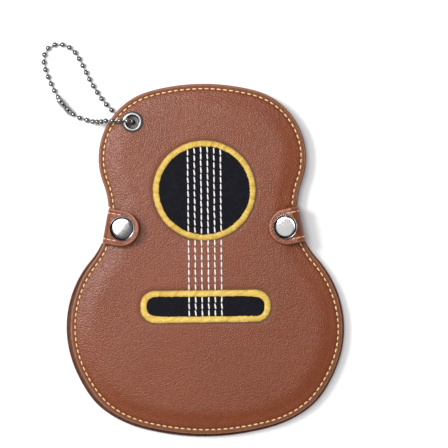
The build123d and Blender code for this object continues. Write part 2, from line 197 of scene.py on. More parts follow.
def leather_material(name, color, dark, edge, grain_scale, roughness):
    """Fine pebbled leather: cells and creases, cloudy dye, an edge colour, and a pale painted highlight
    along the top of edges.
    """
    s = Shader(name, color, roughness)
    clouds = s.remap(s.noise(45, 3), 0.35, 0.65)
    mottle = s.remap(s.noise(420, 3), 0.3, 0.7)
    dyed = s.blend_color(clouds, color, tuple(0.90 * c for c in color))
    dyed = s.blend_color(s.math("MULTIPLY", mottle, 0.35), dyed, dark)
    creases = s.remap(s.cells(grain_scale, "DISTANCE_TO_EDGE"), 0.0, 0.14, 1.0, 0.0)
    dyed = s.blend_color(s.math("MULTIPLY", creases, 0.30), dyed, dark)
    # The edge attribute moves the colour to the edge colour: burnishing on the cover and lining, a painted
    # highlight on the back, painted shade on the slotted panel and in the cover's seam groove and border
    # dents, and a darker strip outside the cover's seam.
    edge_tint = s.attribute("edge")
    patchy = s.math("MULTIPLY", edge_tint, s.remap(s.noise(300, 3), 0.25, 0.6, 0.65, 1.0))
    burnish_and_painted_light = s.blend_color(patchy, dyed, edge)
    # The rim attribute paints a pale line along the top of edges: a painted highlight.
    raw = s.math("MULTIPLY", s.attribute("rim"), s.remap(s.noise(500, 3), 0.3, 0.6, 0.5, 1.0))
    s.feed("Base Color", s.blend_color(raw, burnish_and_painted_light, (0.42, 0.17, 0.10)))
    uneven = s.remap(s.noise(600, 3), 0.3, 0.7, roughness - 0.04, roughness + 0.07)
    s.feed("Roughness", s.math("ADD", uneven, s.math("MULTIPLY", edge_tint, 0.35)))
    pebbles = s.remap(s.cells(grain_scale, "SMOOTH_F1", 0.35), 0.0, 0.75, 1.0, 0.0)
    pores = s.noise(grain_scale * 2.6, 3, 0.6)
    s.bump([
        (s.noise(70, 1), 0.10, 0.0006),
        (s.noise(grain_scale * 0.8, 2, 0.5), 0.44, 0.00013),
        (pebbles, 0.55, 0.00017),
        (creases, 0.2, -0.00005),
        (pores, 0.3, 0.00006),
    ])
    s.set(s.surface, {"Specular IOR Level": 0.44})
    return s.material


def thread_material(name, color, shade, roughness, sheen):
    """Twisted polyester thread with a soft sheen and slightly uneven dye."""
    s = Shader(name, color, roughness)
    uneven = s.math("MAXIMUM", s.remap(s.noise(900, 2), 0.35, 0.75), s.attribute("edge"))
    s.feed("Base Color", s.blend_color(uneven, color, shade))
    s.feed("Roughness", s.remap(s.noise(2500, 2), 0.3, 0.7, roughness - 0.08, roughness + 0.1))
    s.bump([(s.noise(9000, 2), 0.35, 0.00004)])
    s.set(s.surface, {"Sheen Weight": sheen, "Sheen Roughness": 0.4})
    return s.material


def twill_material():
    """Black twill: fine diagonal ribs crossed by the yarns."""
    s = Shader("black_twill", (0.006, 0.006, 0.009), 0.8)
    turn = {"Rotation": (0, 0, math.radians(52)), "Scale": (1, 1, 1)}
    turned = s.node("ShaderNodeMapping", {"Vector": s.coords}, turn).outputs["Vector"]
    wave = {"Scale": 320, "Distortion": 1.4, "Detail": 1.0, "Detail Scale": 2.0}
    ribs = s.node("ShaderNodeTexWave", {"Vector": turned}, wave, bands_direction="X").outputs["Fac"]
    yarn = {"Scale": 1100, "Distortion": 0.3, "Detail": 0.0}
    yarns = s.node("ShaderNodeTexWave", {"Vector": s.coords}, yarn, bands_direction="X").outputs["Fac"]
    dust = s.remap(s.noise(500, 3), 0.45, 0.75)
    lit = s.blend_color(ribs, (0.002, 0.002, 0.003), (0.011, 0.011, 0.017))
    s.feed("Base Color", s.blend_color(s.math("MULTIPLY", dust, 0.3), lit, (0.018, 0.018, 0.025)))
    s.bump([(ribs, 0.6, 0.00013), (yarns, 0.35, 0.00004), (s.noise(4000, 2), 0.3, 0.00003)])
    s.set(s.surface, {"Specular IOR Level": 0.10})
    return s.material


def metal_material(name, color, tarnish, roughness, amount, spread=0.12):
    """Plated metal with faint tarnish in cloudy patches and fine handling marks."""
    s = Shader(name, color, roughness, 1.0)
    clouds = s.remap(s.noise(350, 4), 0.35, 0.75)
    worn = s.blend_color(s.math("MULTIPLY", clouds, amount), color, tarnish)
    # The edge attribute paints near-black: painted shade inside the eyelets' holes, and a painted dark
    # reflection in the snap caps' groove and rim.
    s.feed("Base Color", s.blend_color(s.attribute("edge"), worn, (0.012, 0.011, 0.011)))
    s.feed("Roughness", s.remap(s.noise(1200, 4), 0.3, 0.75, roughness, roughness + spread))
    s.bump([(s.noise(250, 2), 0.05, 0.0002), (s.noise(5000, 2), 0.04, 0.00002)])
    return s.material


LEATHER = leather_material(
    "brown_leather", (0.219, 0.044, 0.006), (0.118, 0.022, 0.004), (0.115, 0.036, 0.003), 1700, 0.30)
# The back's edge colour is lighter than its face: a painted highlight along the edge.
BACK_LEATHER = leather_material(
    "back_leather_painted_edge_highlight", (0.219, 0.044, 0.006), (0.118, 0.022, 0.004), (0.20, 0.075, 0.035), 1700, 0.30)
# The panel's edge colour is near-black: painted shade.
PANEL_LEATHER = leather_material(
    "panel_leather_painted_edge_shade", (0.190, 0.047, 0.017), (0.100, 0.021, 0.007), (0.030, 0.008, 0.003), 1700, 0.45)
LINING = leather_material(
    "lining_leather", (0.170, 0.048, 0.020), (0.095, 0.024, 0.010), (0.080, 0.022, 0.008), 1000, 0.55)
TAN_THREAD = thread_material("tan_thread", (0.96, 0.68, 0.36), (0.76, 0.46, 0.19), 0.55, 0.25)
STRAP_THREAD = thread_material("orange_tan_thread", (0.90, 0.52, 0.30), (0.70, 0.34, 0.16), 0.55, 0.25)
WHITE_THREAD = thread_material("white_thread", (0.92, 0.88, 0.86), (0.74, 0.70, 0.68), 0.5, 0.3)
SATIN = thread_material("yellow_satin", (0.82, 0.59, 0.135), (0.60, 0.37, 0.035), 0.42, 0.35)
TWILL = twill_material()
NICKEL = metal_material("dark_nickel", (0.17, 0.166, 0.162), (0.07, 0.066, 0.062), 0.20, 0.45)
CHAIN_METAL = metal_material("chain_nickel", (0.29, 0.285, 0.28), (0.10, 0.097, 0.094), 0.15, 0.45)
COUPLING_METAL = metal_material("coupling_nickel", (0.52, 0.51, 0.50), (0.22, 0.215, 0.21), 0.24, 0.4)
CAP_STEEL = metal_material("polished_cap", (0.30, 0.292, 0.288), (0.24, 0.228, 0.224), 0.07, 0.3, 0.04)


# ---------------------------------------------------------------- outlines

def smooth(t):
    t = np.clip(t, 0, 1)
    return t * t * (3 - 2 * t)


def arc(centre, radius, start, sweep, count):
    """Points on an arc, its end left out. Angles in degrees."""
    angles = np.radians(start + sweep * np.arange(count) / count)
    return np.stack([centre[0] + radius * np.cos(angles), centre[1] + radius * np.sin(angles)], 1)


def polar(centre, radius, angle):
    turn = math.radians(angle)
    return np.array(centre, float) + radius * np.array([math.cos(turn), math.sin(turn)])


def heading(start, end):
    return math.degrees(math.atan2(end[1] - start[1], end[0] - start[0])) % 360


def bout_centres():
    """Centres of the outline's arcs on the right side, from the crown to the foot."""
    crown = np.array([0, TOP_Y - CROWN_R])
    upper = polar(crown, CROWN_R - UPPER_BOUT_R, 90 - CROWN_HALF_ANGLE)
    foot = np.array([0, BOTTOM_Y + FOOT_R])
    lower = polar(foot, FOOT_R - LOWER_BOUT_R, FOOT_HALF_ANGLE - 90)
    apart = np.linalg.norm(lower - upper)
    to_upper, to_lower = UPPER_BOUT_R + WAIST_R, LOWER_BOUT_R + WAIST_R
    along = (to_upper**2 - to_lower**2 + apart**2) / (2 * apart)
    across = math.sqrt(to_upper**2 - along**2)
    down = (lower - upper) / apart
    waist = upper + down * along + np.array([-down[1], down[0]]) * across
    return crown, upper, waist, lower, foot


CENTRES = bout_centres()


def to_tab(points):
    """From the flat drawing to the right tab's frame; the left side is mirrored first."""
    moved = np.stack([np.abs(points[:, 0] - TAB_SHIFT) - FOLD_X, points[:, 1] - FOLD_Y], 1)
    c, s = math.cos(TAB_SPLAY), math.sin(TAB_SPLAY)
    return moved @ np.array([[c, -s], [s, c]])


def from_tab(local, sides):
    c, s = math.cos(TAB_SPLAY), math.sin(TAB_SPLAY)
    back = local @ np.array([[c, s], [-s, c]]) + np.array([FOLD_X, FOLD_Y])
    back[:, 0] = back[:, 0] * sides + TAB_SHIFT
    return back


def notched(points, inset):
    """Moves the edge in where the straps climb past it."""
    local = to_tab(points)
    inside = smooth((NOTCH_HALF_W + NOTCH_EASE / 2 - np.abs(local[:, 1])) / NOTCH_EASE)
    limit = NOTCH_X - inset
    beyond = np.maximum(local[:, 0] - limit, 0) * inside
    local[:, 0] -= beyond
    return from_tab(local, np.where(points[:, 0] < 0, -1.0, 1.0))


def guitar_loop(inset, step=OUTLINE_STEP):
    """The guitar outline with its notches for the straps, moved in by inset."""
    return notched(plain_loop(inset, step), inset)


def plain_loop(inset, step=OUTLINE_STEP):
    """The guitar outline counter-clockwise from the right end of the foot, moved in by inset."""
    crown, upper, waist, lower, foot = CENTRES
    hip, shoulder = heading(lower, waist), heading(upper, waist) - 360
    into, out_of = heading(waist, lower), heading(waist, upper)
    spans = [
        (lower, LOWER_BOUT_R, -1, FOOT_HALF_ANGLE - 90, hip + 90 - FOOT_HALF_ANGLE),
        (waist, WAIST_R, 1, into, out_of - into),
        (upper, UPPER_BOUT_R, -1, shoulder, 90 - CROWN_HALF_ANGLE - shoulder),
    ]
    right = []
    for centre, radius, sign, start, sweep in spans:
        count = max(8, int(abs(math.radians(sweep)) * radius / step))
        right.append(arc(centre, radius + sign * inset, start, sweep, count))
    crown_count = int(2 * math.radians(CROWN_HALF_ANGLE) * CROWN_R / step)
    top = arc(crown, CROWN_R - inset, 90 - CROWN_HALF_ANGLE, 2 * CROWN_HALF_ANGLE, crown_count)
    foot_count = int(2 * math.radians(FOOT_HALF_ANGLE) * FOOT_R / step)
    base = arc(foot, FOOT_R - inset, 270 - FOOT_HALF_ANGLE, 2 * FOOT_HALF_ANGLE, foot_count)
    right = np.concatenate(right)
    left = (right * [-1, 1])[::-1]
    crown_end = polar(upper, UPPER_BOUT_R - inset, 90 - CROWN_HALF_ANGLE) * [-1, 1]
    left = np.concatenate([[crown_end], left[:-1]])
    return swayed(np.concatenate([right, top, left, base]))


def swayed(points):
    """The upper half lies a little to the left of the lower half, and the foot's corners are fuller."""
    x, y = points[:, 0], points[:, 1]
    across = SWAY * smooth((y + 60) / 90)
    fuller = FOOT_CORNER * np.exp(-((y + 66) / 9) ** 2) * smooth((np.abs(x) - 12) / 18) * np.sign(x)
    return points + np.column_stack([fuller - across, np.zeros(len(points))])


def cover_plain(inset):
    """The cover's outline without notches: inside the back's, and to the right at its foot."""
    high, low = plain_loop(inset + COVER_TOP_INSET), plain_loop(inset + COVER_FOOT_INSET)
    down = (1 - smooth((high[:, 1] + 25) / 50))[:, None]
    return high + (low - high + [COVER_SHIFT, 0]) * down


def cover_loop(inset):
    return notched(cover_plain(inset), inset + COVER_TOP_INSET)


def panel_loop(inset):
    return guitar_loop(inset + PANEL_INSET)


def circle_loop(centre, radius, count):
    """A function of the inset: a circle that grows into the sheet round it."""
    return lambda inset: arc(centre, radius + inset, 0, 360, count)


def hole_loop(radius, count):
    """The soundhole, very slightly wider than high: a function of the inset."""
    return lambda inset: arc((0, 0), radius - inset, 0, 360, count) * [1, HOLE_SQUASH] + [0, HOLE_Y]


def rounded_loop(centre, length, width, corner, step):
    """A function of the inset: a rounded rectangle, moved in by the inset."""
    half_l, half_w = length / 2 - corner, width / 2 - corner
    corners = [(half_l, -half_w), (half_l, half_w), (-half_l, half_w), (-half_l, -half_w)]
    corners = [(centre[0] + x, centre[1] + y) for x, y in corners]
    per_corner = max(6, int(math.pi / 2 * corner / step))

    def loop(inset):
        points = []
        for index, middle in enumerate(corners):
            start = 90 * index - 90
            points.append(arc(middle, corner - inset, start, 90, per_corner))
            run = 2 * (half_w if index % 2 == 0 else half_l)
            extra = max(1, int(run / step))
            end = polar(middle, corner - inset, start + 90)
            begin = polar(corners[(index + 1) % 4], corner - inset, start + 90)
            points.append(end + (begin - end) * np.arange(extra)[:, None] / extra)
        return np.concatenate(points)
    return loop


# ---------------------------------------------------------------- meshes

def inside(points, polygon):
    """Which points are inside a polygon."""
    x, y = points[:, 0], points[:, 1]
    found = np.zeros(len(points), bool)
    for (x0, y0), (x1, y1) in zip(polygon, np.roll(polygon, -1, 0)):
        crosses = (y0 > y) != (y1 > y)
        if crosses.any():
            found ^= crosses & (x < (x1 - x0) * (y - y0) / (y1 - y0 + 1e-12) + x0)
    return found


def flat_tree(points):
    """A search tree of points in the flat drawing."""
    tree = kdtree.KDTree(len(points))
    for index, (x, y) in enumerate(points):
        tree.insert((x, y, 0), index)
    tree.balance()
    return tree


def distance_to(points, line):
    """Each point's distance to the nearest of a line's points."""
    tree = flat_tree(line)
    return np.array([tree.find((x, y, 0))[2] for x, y in points])


def fill(rings, grid, spacing):
    """Triangles between an outer ring and the hole rings, with the grid's points inside.
    Returns the added points and triangles of indices into the rings and then the added points."""
    outer, holes = rings[0], rings[1:]
    border = np.concatenate(rings)
    keep = inside(grid, outer)
    for hole in holes:
        keep &= ~inside(grid, hole)
    grid = grid[keep]
    grid = grid[distance_to(grid, border) > 0.55 * spacing]
    points = np.concatenate([border, grid])
    edges, start = [], 0
    for ring in rings:
        count = len(ring)
        edges += [(start + i, start + (i + 1) % count) for i in range(count)]
        start += count
    made = geometry.delaunay_2d_cdt([Vector(p) for p in points], edges, [], 0, 1e-6)
    back = [sources[0] for sources in made[3]]
    faces = np.array([[back[i] for i in face] for face in made[2]])
    centres = points[faces].mean(1)
    keep = inside(centres, outer)
    for hole in holes:
        keep &= ~inside(centres, hole)
    return grid, faces[keep]


def grid_points(low, high, spacing, rows=()):
    """A staggered grid, with extra rows between the Y values given."""
    points = []
    y, odd = low[1], False
    while y < high[1]:
        step = next((s for a, b, s in rows if a < y < b), spacing)
        offset = step / 2 if odd else 0
        points += [(x, y) for x in np.arange(low[0] + offset, high[0], step)]
        y += step * 0.87
        odd = not odd
    return np.array(points)


def with_contours(grid, loop, insets, clear):
    """The grid beyond an inset, with points along the outline at smaller insets."""
    inner = grid[inside(grid, loop(clear))]
    return np.concatenate([inner] + [loop(inset)[:: int(2 + inset / 4)] for inset in insets])


def sheet_mesh(borders, grid, spacing):
    """A sheet with thickness. borders are (loop, profile): a profile is [(inset, height), ...] from
    the top surface round the edge to the bottom surface. Returns points as (x, y, height), faces,
    and each point's inset from the outer edge."""
    points, faces, tops, bottoms, insets = [], [], [], [], []
    total = 0
    for loop, profile in borders:
        rings = [loop(inset) for inset, _ in profile]
        count = len(rings[0])
        for ring, (inset, height) in zip(rings, profile):
            points.append(np.column_stack([ring, np.full(count, height)]))
            insets.append(np.full(count, inset))
        faces += band_faces(len(rings), count, total)
        tops.append((rings[0], total, profile[0][1]))
        total += count * len(rings)
        bottoms.append((rings[-1], total - count, profile[-1][1]))
    outer = borders[0][0](0)
    for side, order in ((tops, 1), (bottoms, -1)):
        added, triangles = fill([ring for ring, _, _ in side], grid, spacing)
        index = [start + np.arange(len(ring)) for ring, start, _ in side]
        index = np.concatenate(index + [total + np.arange(len(added))])
        faces += [tuple(t) for t in index[triangles][:, ::order]]
        points.append(np.column_stack([added, np.full(len(added), side[0][2])]))
        insets.append(distance_to(added, outer))
        total += len(added)
    points = np.concatenate(points)
    return points, facing_out(points, faces), np.concatenate(insets)


def band_faces(rows, count, start=0):
    """Quads between closed rings of count points, one after another from start."""
    faces = []
    for a in range(start, start + (rows - 1) * count, count):
        b = a + count
        for i in range(count):
            j = (i + 1) % count
            faces.append((a + i, b + i, b + j, a + j))
    return faces


def facing_out(points, faces):
    """The faces, all turned over if they enclose a negative volume."""
    volume = 0.0
    for face in faces:
        a = points[face[0]]
        for b, c in zip(face[1:], face[2:]):
            volume += np.dot(a, np.cross(points[b], points[c]))
    return faces if volume > 0 else [tuple(reversed(face)) for face in faces]


def add_piece(name, points, faces, material, nodes, body=None, edge=None, rim=None, stand=True):
    """A smooth-shaded mesh in the frame, from points in the flat drawing or, not stood, in metres.
    edge is how strongly each point takes its material's edge colour (burnishing, a darker thread tone, a
    painted highlight and painted shade, by piece), and rim how strongly leather takes a pale painted
    highlight along its edges."""
    mesh = bpy.data.meshes.new(name)
    if stand:
        matrix = np.array(STAND)
        points = points @ matrix[:3, :3].T + matrix[:3, 3]
    mesh.from_pydata([tuple(p) for p in points], [], [tuple(int(i) for i in f) for f in faces])
    mesh.update()
    mesh.polygons.foreach_set("use_smooth", [True] * len(mesh.polygons))
    for label, values in (("edge", edge), ("rim", rim)):
        if values is not None:
            mesh.attributes.new(label, "FLOAT", "POINT").data.foreach_set("value", values.astype(np.float32))
    mesh.materials.append(material)
    piece = bpy.data.objects.new(name, mesh)
    bpy.context.scene.collection.objects.link(piece)
    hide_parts(*nodes)
    if body:
        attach(piece, body)
    return piece


def polygon_area(line):
    x, y = line[:, 0], line[:, 1]
    return float(abs(np.dot(x, np.roll(y, -1)) - np.dot(y, np.roll(x, -1))) / 2)


def cut_sheet(piece, line, holes):
    """Works out a sheet's flat cut, its outline's width and length and its area less its holes, and keeps
    none of it.
    """
    width, length = (float(np.ptp(line[:, k])) * MM for k in (0, 1))
    area = (polygon_area(line) - sum(polygon_area(hole) for hole in holes)) * MM**2


def at(x, y, z):
    """A point of the flat drawing, in the frame."""
    return tuple(STAND @ Vector((x, y, z)))


def edge_profile(thickness, radius, insets, bottom_insets):
    """Top insets, a rounded edge, and bottom insets, as (inset, height below the top)."""
    top = [(inset, 0.0) for inset in insets]
    turns = [math.radians(a) for a in (15, 35, 55, 75, 90)]
    upper = [(radius * (1 - math.sin(a)), -radius * (1 - math.cos(a))) for a in turns]
    middle = [(0.0, -thickness / 2)]
    lower = [(inset, -thickness - height) for inset, height in reversed(upper)]
    bottom = [(inset, -thickness) for inset in bottom_insets]
    return top + upper + middle + lower + bottom


def edge_band(insets, width, peak):
    """How strongly each point takes its material's edge colour, which is burnishing on the cover and lining,
    a painted highlight on the back and painted shade on the slotted panel: all of the edge, fading into the
    face.
    """
    return peak * (1 - smooth((insets - 0.15) / width))


def painted_edge_highlight(insets, heights, thickness):
    """A pale line painted along the top of an edge: a painted highlight."""
    return 0.7 * np.exp(-((insets - 0.28) / 0.24) ** 2) * (heights > -0.45 * thickness)


# ---------------------------------------------------------------- stitches

def tube_faces(rows, sides):
    """The faces of a tube of rings, with its two flat ends."""
    faces = []
    for i in range(rows - 1):
        for k in range(sides):
            m = (k + 1) % sides
            faces.append((i * sides + k, i * sides + m, (i + 1) * sides + m, (i + 1) * sides + k))
    return faces + [tuple(range(sides))[::-1], tuple((rows - 1) * sides + k for k in range(sides))]


def tube_along(line, radius, sides, twist=0.0, lobes=0.0, flatten=1.0):
    """A closed tube along points (n, 3), thinner at its two ends, with a two-ply twist."""
    line = np.array(line, float)
    count = len(line)
    ahead = np.gradient(line, axis=0)
    ahead /= np.linalg.norm(ahead, axis=1)[:, None]
    up = np.array([0.0, 0.0, 1.0])
    side = np.cross(ahead, up)
    weak = np.linalg.norm(side, axis=1) < 1e-6
    side[weak] = [1.0, 0.0, 0.0]
    side /= np.linalg.norm(side, axis=1)[:, None]
    over = np.cross(side, ahead)
    points = []
    for i in range(count):
        t = i / (count - 1)
        taper = math.sqrt(max(0.0, 1 - abs(2 * t - 1) ** 3.5)) * 0.75 + 0.25
        for k in range(sides):
            a = 2 * math.pi * k / sides
            r = radius * taper * (1 + lobes * math.cos(2 * (a - twist * t)))
            points.append(line[i] + side[i] * r * math.cos(a) + over[i] * r * flatten * math.sin(a))
    return np.array(points), tube_faces(count, sides)


def joined(parts):
    """Several (points, faces) as one."""
    points, faces, start = [], [], 0
    for p, f in parts:
        points.append(p)
        faces += [tuple(i + start for i in face) for face in f]
        start += len(p)
    return np.concatenate(points), faces


def walk(line, closed=True):
    """A polyline's points with the distance along it."""
    line = np.concatenate([line, line[:1]]) if closed else line
    steps = np.linalg.norm(np.diff(line, axis=0), axis=1)
    return line, np.concatenate([[0], np.cumsum(steps)])


def spot(line, along, distance):
    return np.array([np.interp(distance, along, line[:, k]) for k in range(line.shape[1])])


def clear_of_straps(parts):
    """The stitches that no strap crosses over or stands in."""
    middles = np.array([p[0][:, :2].mean(0) for p in parts])
    keep = np.abs(to_tab(middles)[:, 1]) > TAB_HALF_W + 0.35
    keep |= np.abs(to_tab(middles)[:, 0]) > 12
    return [part for part, kept in zip(parts, keep) if kept]


def past_notches(points, inset, line):
    """Insets measured from the outline as it runs on across the notches."""
    near = np.abs(to_tab(points[:, :2])[:, 1]) < TAB_HALF_W + 5
    near &= np.abs(to_tab(points[:, :2])[:, 0]) < 14
    measured = inset.copy()
    measured[near] = distance_to(points[near, :2], line)
    return measured


def stitch_row(line, closed, pitch, dash, radius, height, rng, lift=0.16, sunk=0.30, skew=0.0):
    """Separate stitches along a line in the flat drawing. height(x, y) is the surface there."""
    line, along = walk(line, closed)
    count = max(1, int(round(along[-1] / pitch)))
    pitch = along[-1] / count
    parts = []
    for i in range(count):
        middle = (i + 0.5) * pitch
        half = dash / 2 * (1 + rng.uniform(-0.05, 0.05))
        turn = skew + rng.uniform(-0.05, 0.05)
        centre = spot(line, along, middle)
        ahead = spot(line, along, min(middle + 0.2, along[-1])) - spot(line, along, max(middle - 0.2, 0))
        ahead /= np.linalg.norm(ahead)
        across = np.array([-ahead[1], ahead[0]])
        path = []
        for t in np.linspace(-1, 1, 7):
            at_xy = centre + ahead * half * t + across * half * t * turn
            rise = lift - (lift + sunk) * abs(t) ** 3
            path.append((*at_xy, height(*at_xy) + rise))
        parts.append(tube_along(path, radius * (1 + rng.uniform(-0.05, 0.05)), 8, 5.0, 0.10, 0.85))
    return parts


def level(z):
    """A function of (x, y): the same height everywhere."""
    return lambda x, y: z


def surface_of(points):
    """A function of (x, y): the height there, weighed from the three nearest points."""
    tree, heights = flat_tree(points[:, :2]), points[:, 2]

    def height(x, y):
        near = tree.find_n((x, y, 0), 3)
        weights = [1 / (n[2] + 0.02) for n in near]
        return sum(w * heights[n[1]] for w, n in zip(weights, near)) / sum(weights)
    return height


# ---------------------------------------------------------------- camera, light and floor

VIEW_X, VIEW_Y, VIEW_Z, VIEW_SIDE = 8.6 * MM, 16.15 * MM, 7.0 * MM, 199.0 * MM
CAMERA_HEIGHT, CAMERA_ROLL, SENSOR = 0.9, math.radians(0.6), 36.0
FLOOR_SIZE, FLOOR_GAP = 4.0, 0.00003


def make_camera():
    data = bpy.data.cameras.new("camera")
    camera = bpy.data.objects.new("camera", data)
    data.sensor_width = SENSOR
    data.lens = SENSOR * (CAMERA_HEIGHT - VIEW_Z) / VIEW_SIDE
    camera.location = (VIEW_X, VIEW_Y, CAMERA_HEIGHT)
    camera.rotation_euler = (0, 0, -CAMERA_ROLL)
    bpy.context.scene.collection.objects.link(camera)
    bpy.context.scene.camera = camera


def area_light(name, location, aim, size, power):
    data = bpy.data.lights.new(name, "AREA")
    data.shape = "RECTANGLE"
    data.size, data.size_y = size
    data.energy = power
    light = bpy.data.objects.new(name, data)
    light.location = location
    light.rotation_euler = (Vector(aim) - Vector(location)).to_track_quat("-Z", "Y").to_euler()
    bpy.context.scene.collection.objects.link(light)


def make_studio():
    world = bpy.data.worlds.new("studio")
    bpy.context.scene.world = world
    world.use_nodes = True
    world.node_tree.nodes["Background"].inputs["Color"].default_value = (0.97, 0.98, 1.0, 1)
    world.node_tree.nodes["Background"].inputs["Strength"].default_value = 0.42
    area_light("key", (-0.36, 0.18, 0.55), (-0.01, 0.0, 0), (0.15, 0.15), 2.5)
    area_light("softbox", (-0.172, 0.165, 0.90), (-0.10, 0.10, 0), (0.30, 0.40), 3.7)
    area_light("card", (-0.62, 0.06, 1.0), (0.036, 0.015, 0), (0.40, 0.38), 0.75)
    bpy.context.scene.view_settings.view_transform = "Standard"
    mesh = bpy.data.meshes.new("floor")
    half = FLOOR_SIZE / 2
    corners = [(-half, -half), (half, -half), (half, half), (-half, half)]
    mesh.from_pydata([(x, y, -FLOOR_GAP) for x, y in corners], [], [(0, 1, 2, 3)])
    s = Shader("white_floor", (0.93, 0.93, 0.93), 0.6)
    s.feed("Base Color", s.blend_color(s.noise(3, 2), (0.925, 0.925, 0.925), (0.935, 0.935, 0.935)))
    mesh.materials.append(s.material)
    floor = bpy.data.objects.new("floor", mesh)
    bpy.context.scene.collection.objects.link(floor)


# ---------------------------------------------------------------- ball chain

BALL_R, BALL_PITCH, LINK_R = 1.2, 3.4, 0.32
COUPLING_GAP, COUPLING_AFTER_BALL = 3.4, 12
TABLE = BALL_R
CHAIN_ROUTE = [
    (-31.5, 61.9, 7.0),
    (-31.6, 61.95, 10.6),
    (-33.8, 62.1, 13.6),
    (-38.2, 62.2, 14.1),
    (-42.6, 62.3, 12.4),
    (-45.8, 62.0, 8.2),
    (-48.8, 62.2, 3.6),
    (-52.6, 63.3, TABLE),
    (-57.4, 64.9, TABLE),
    (-61.8, 69.0, TABLE),
    (-65.4, 74.0, TABLE),
    (-69.0, 81.5, TABLE),
    (-71.8, 90.0, TABLE),
    (-69.6, 96.2, TABLE),
    (-63.4, 97.8, TABLE),
    (-57.4, 94.6, TABLE),
    (-54.0, 88.2, TABLE),
    (-50.3, 80.2, TABLE),
    (-46.0, 73.2, TABLE),
    (-40.8, 67.0, TABLE),
    (-35.4, 63.2, TABLE),
    (-31.7, 61.85, 2.2),
    (-31.45, 61.9, 5.2),
]


def route_line():
    """The chain's smooth centreline, in millimetres of the frame."""
    curve = bpy.data.curves.new("chain_line", "CURVE")
    curve.dimensions = "3D"
    spline = curve.splines.new("NURBS")
    spline.points.add(len(CHAIN_ROUTE) - 1)
    for point, (x, y, z) in zip(spline.points, CHAIN_ROUTE):
        point.co = (x * MM, y * MM, z * MM, 1)
    spline.order_u = 3
    spline.use_endpoint_u = True
    spline.resolution_u = 16
    line = bpy.data.objects.new("chain_line", curve)
    mesh = bpy.data.meshes.new_from_object(line)
    points = np.array([v.co for v in mesh.vertices]) / MM
    bpy.data.objects.remove(line)
    bpy.data.meshes.remove(mesh)
    return points


def lathe(profile, start, ahead, sides):
    """A closed turned shape: profile is [(distance along, radius), ...] from start along ahead."""
    ahead = np.array(ahead) / np.linalg.norm(ahead)
    other = np.array([0, 0, 1.0]) if abs(ahead[2]) < 0.9 else np.array([1.0, 0, 0])
    side = np.cross(ahead, other)
    side /= np.linalg.norm(side)
    over = np.cross(side, ahead)
    points = []
    for along, radius in profile:
        for k in range(sides):
            a = 2 * math.pi * k / sides
            points.append(start + ahead * along + (side * math.cos(a) + over * math.sin(a)) * radius)
    points = np.array(points)
    return points, facing_out(points, tube_faces(len(profile), sides))


def ball(centre, ahead):
    """A hollow ball: a drawn shell with a pressed hole at each end where the wire goes in."""
    hole, steps = 0.52, 13
    low = math.asin(hole / BALL_R)
    end = BALL_R * math.cos(low)
    shell = [(-end + 0.22, hole * 0.55), (-end + 0.05, hole * 0.85)]
    for a in np.linspace(low, math.pi - low, steps):
        shell.append((-BALL_R * math.cos(a), BALL_R * math.sin(a)))
    shell += [(end - 0.05, hole * 0.85), (end - 0.22, hole * 0.55)]
    return lathe(shell, np.array(centre), ahead, 20)


def wire(start, end):
    """The short wire between two balls."""
    ahead = end - start
    length = np.linalg.norm(ahead)
    first, last = BALL_R - 0.25, length - BALL_R + 0.25
    places = np.linspace(first, last, 5)
    profile = [(t, LINK_R * (0.9 + 0.1 * math.cos(6.0 * k))) for k, t in enumerate(places)]
    return lathe(profile, start, ahead, 10)


COUPLING_HALF_L, COUPLING_R, COUPLING_WALL, COUPLING_LIP = 4.3, 1.6, 0.28, 0.62
COUPLING_SLOT_W, COUPLING_SLOT_END, COUPLING_SIDES = 0.9, 1.0, 36


def coupling_stations():
    """The sleeve's outline as (distance from its middle, radius), with a waist between the two balls."""
    half, outer = COUPLING_HALF_L, COUPLING_R
    stations = [(-half, COUPLING_LIP), (-half + 0.05, outer - 0.35), (-half + 0.25, outer - 0.08)]
    stations += [(-half + 0.5, outer)]
    stations += [(x, outer) for x in np.linspace(-half + 1.1, -0.55, 5)]
    first_half = list(stations)
    stations += [(-0.35, outer - 0.1), (-0.15, outer - 0.28), (0.15, outer - 0.28), (0.35, outer - 0.1)]
    return stations + [(-x, r) for x, r in reversed(first_half)]


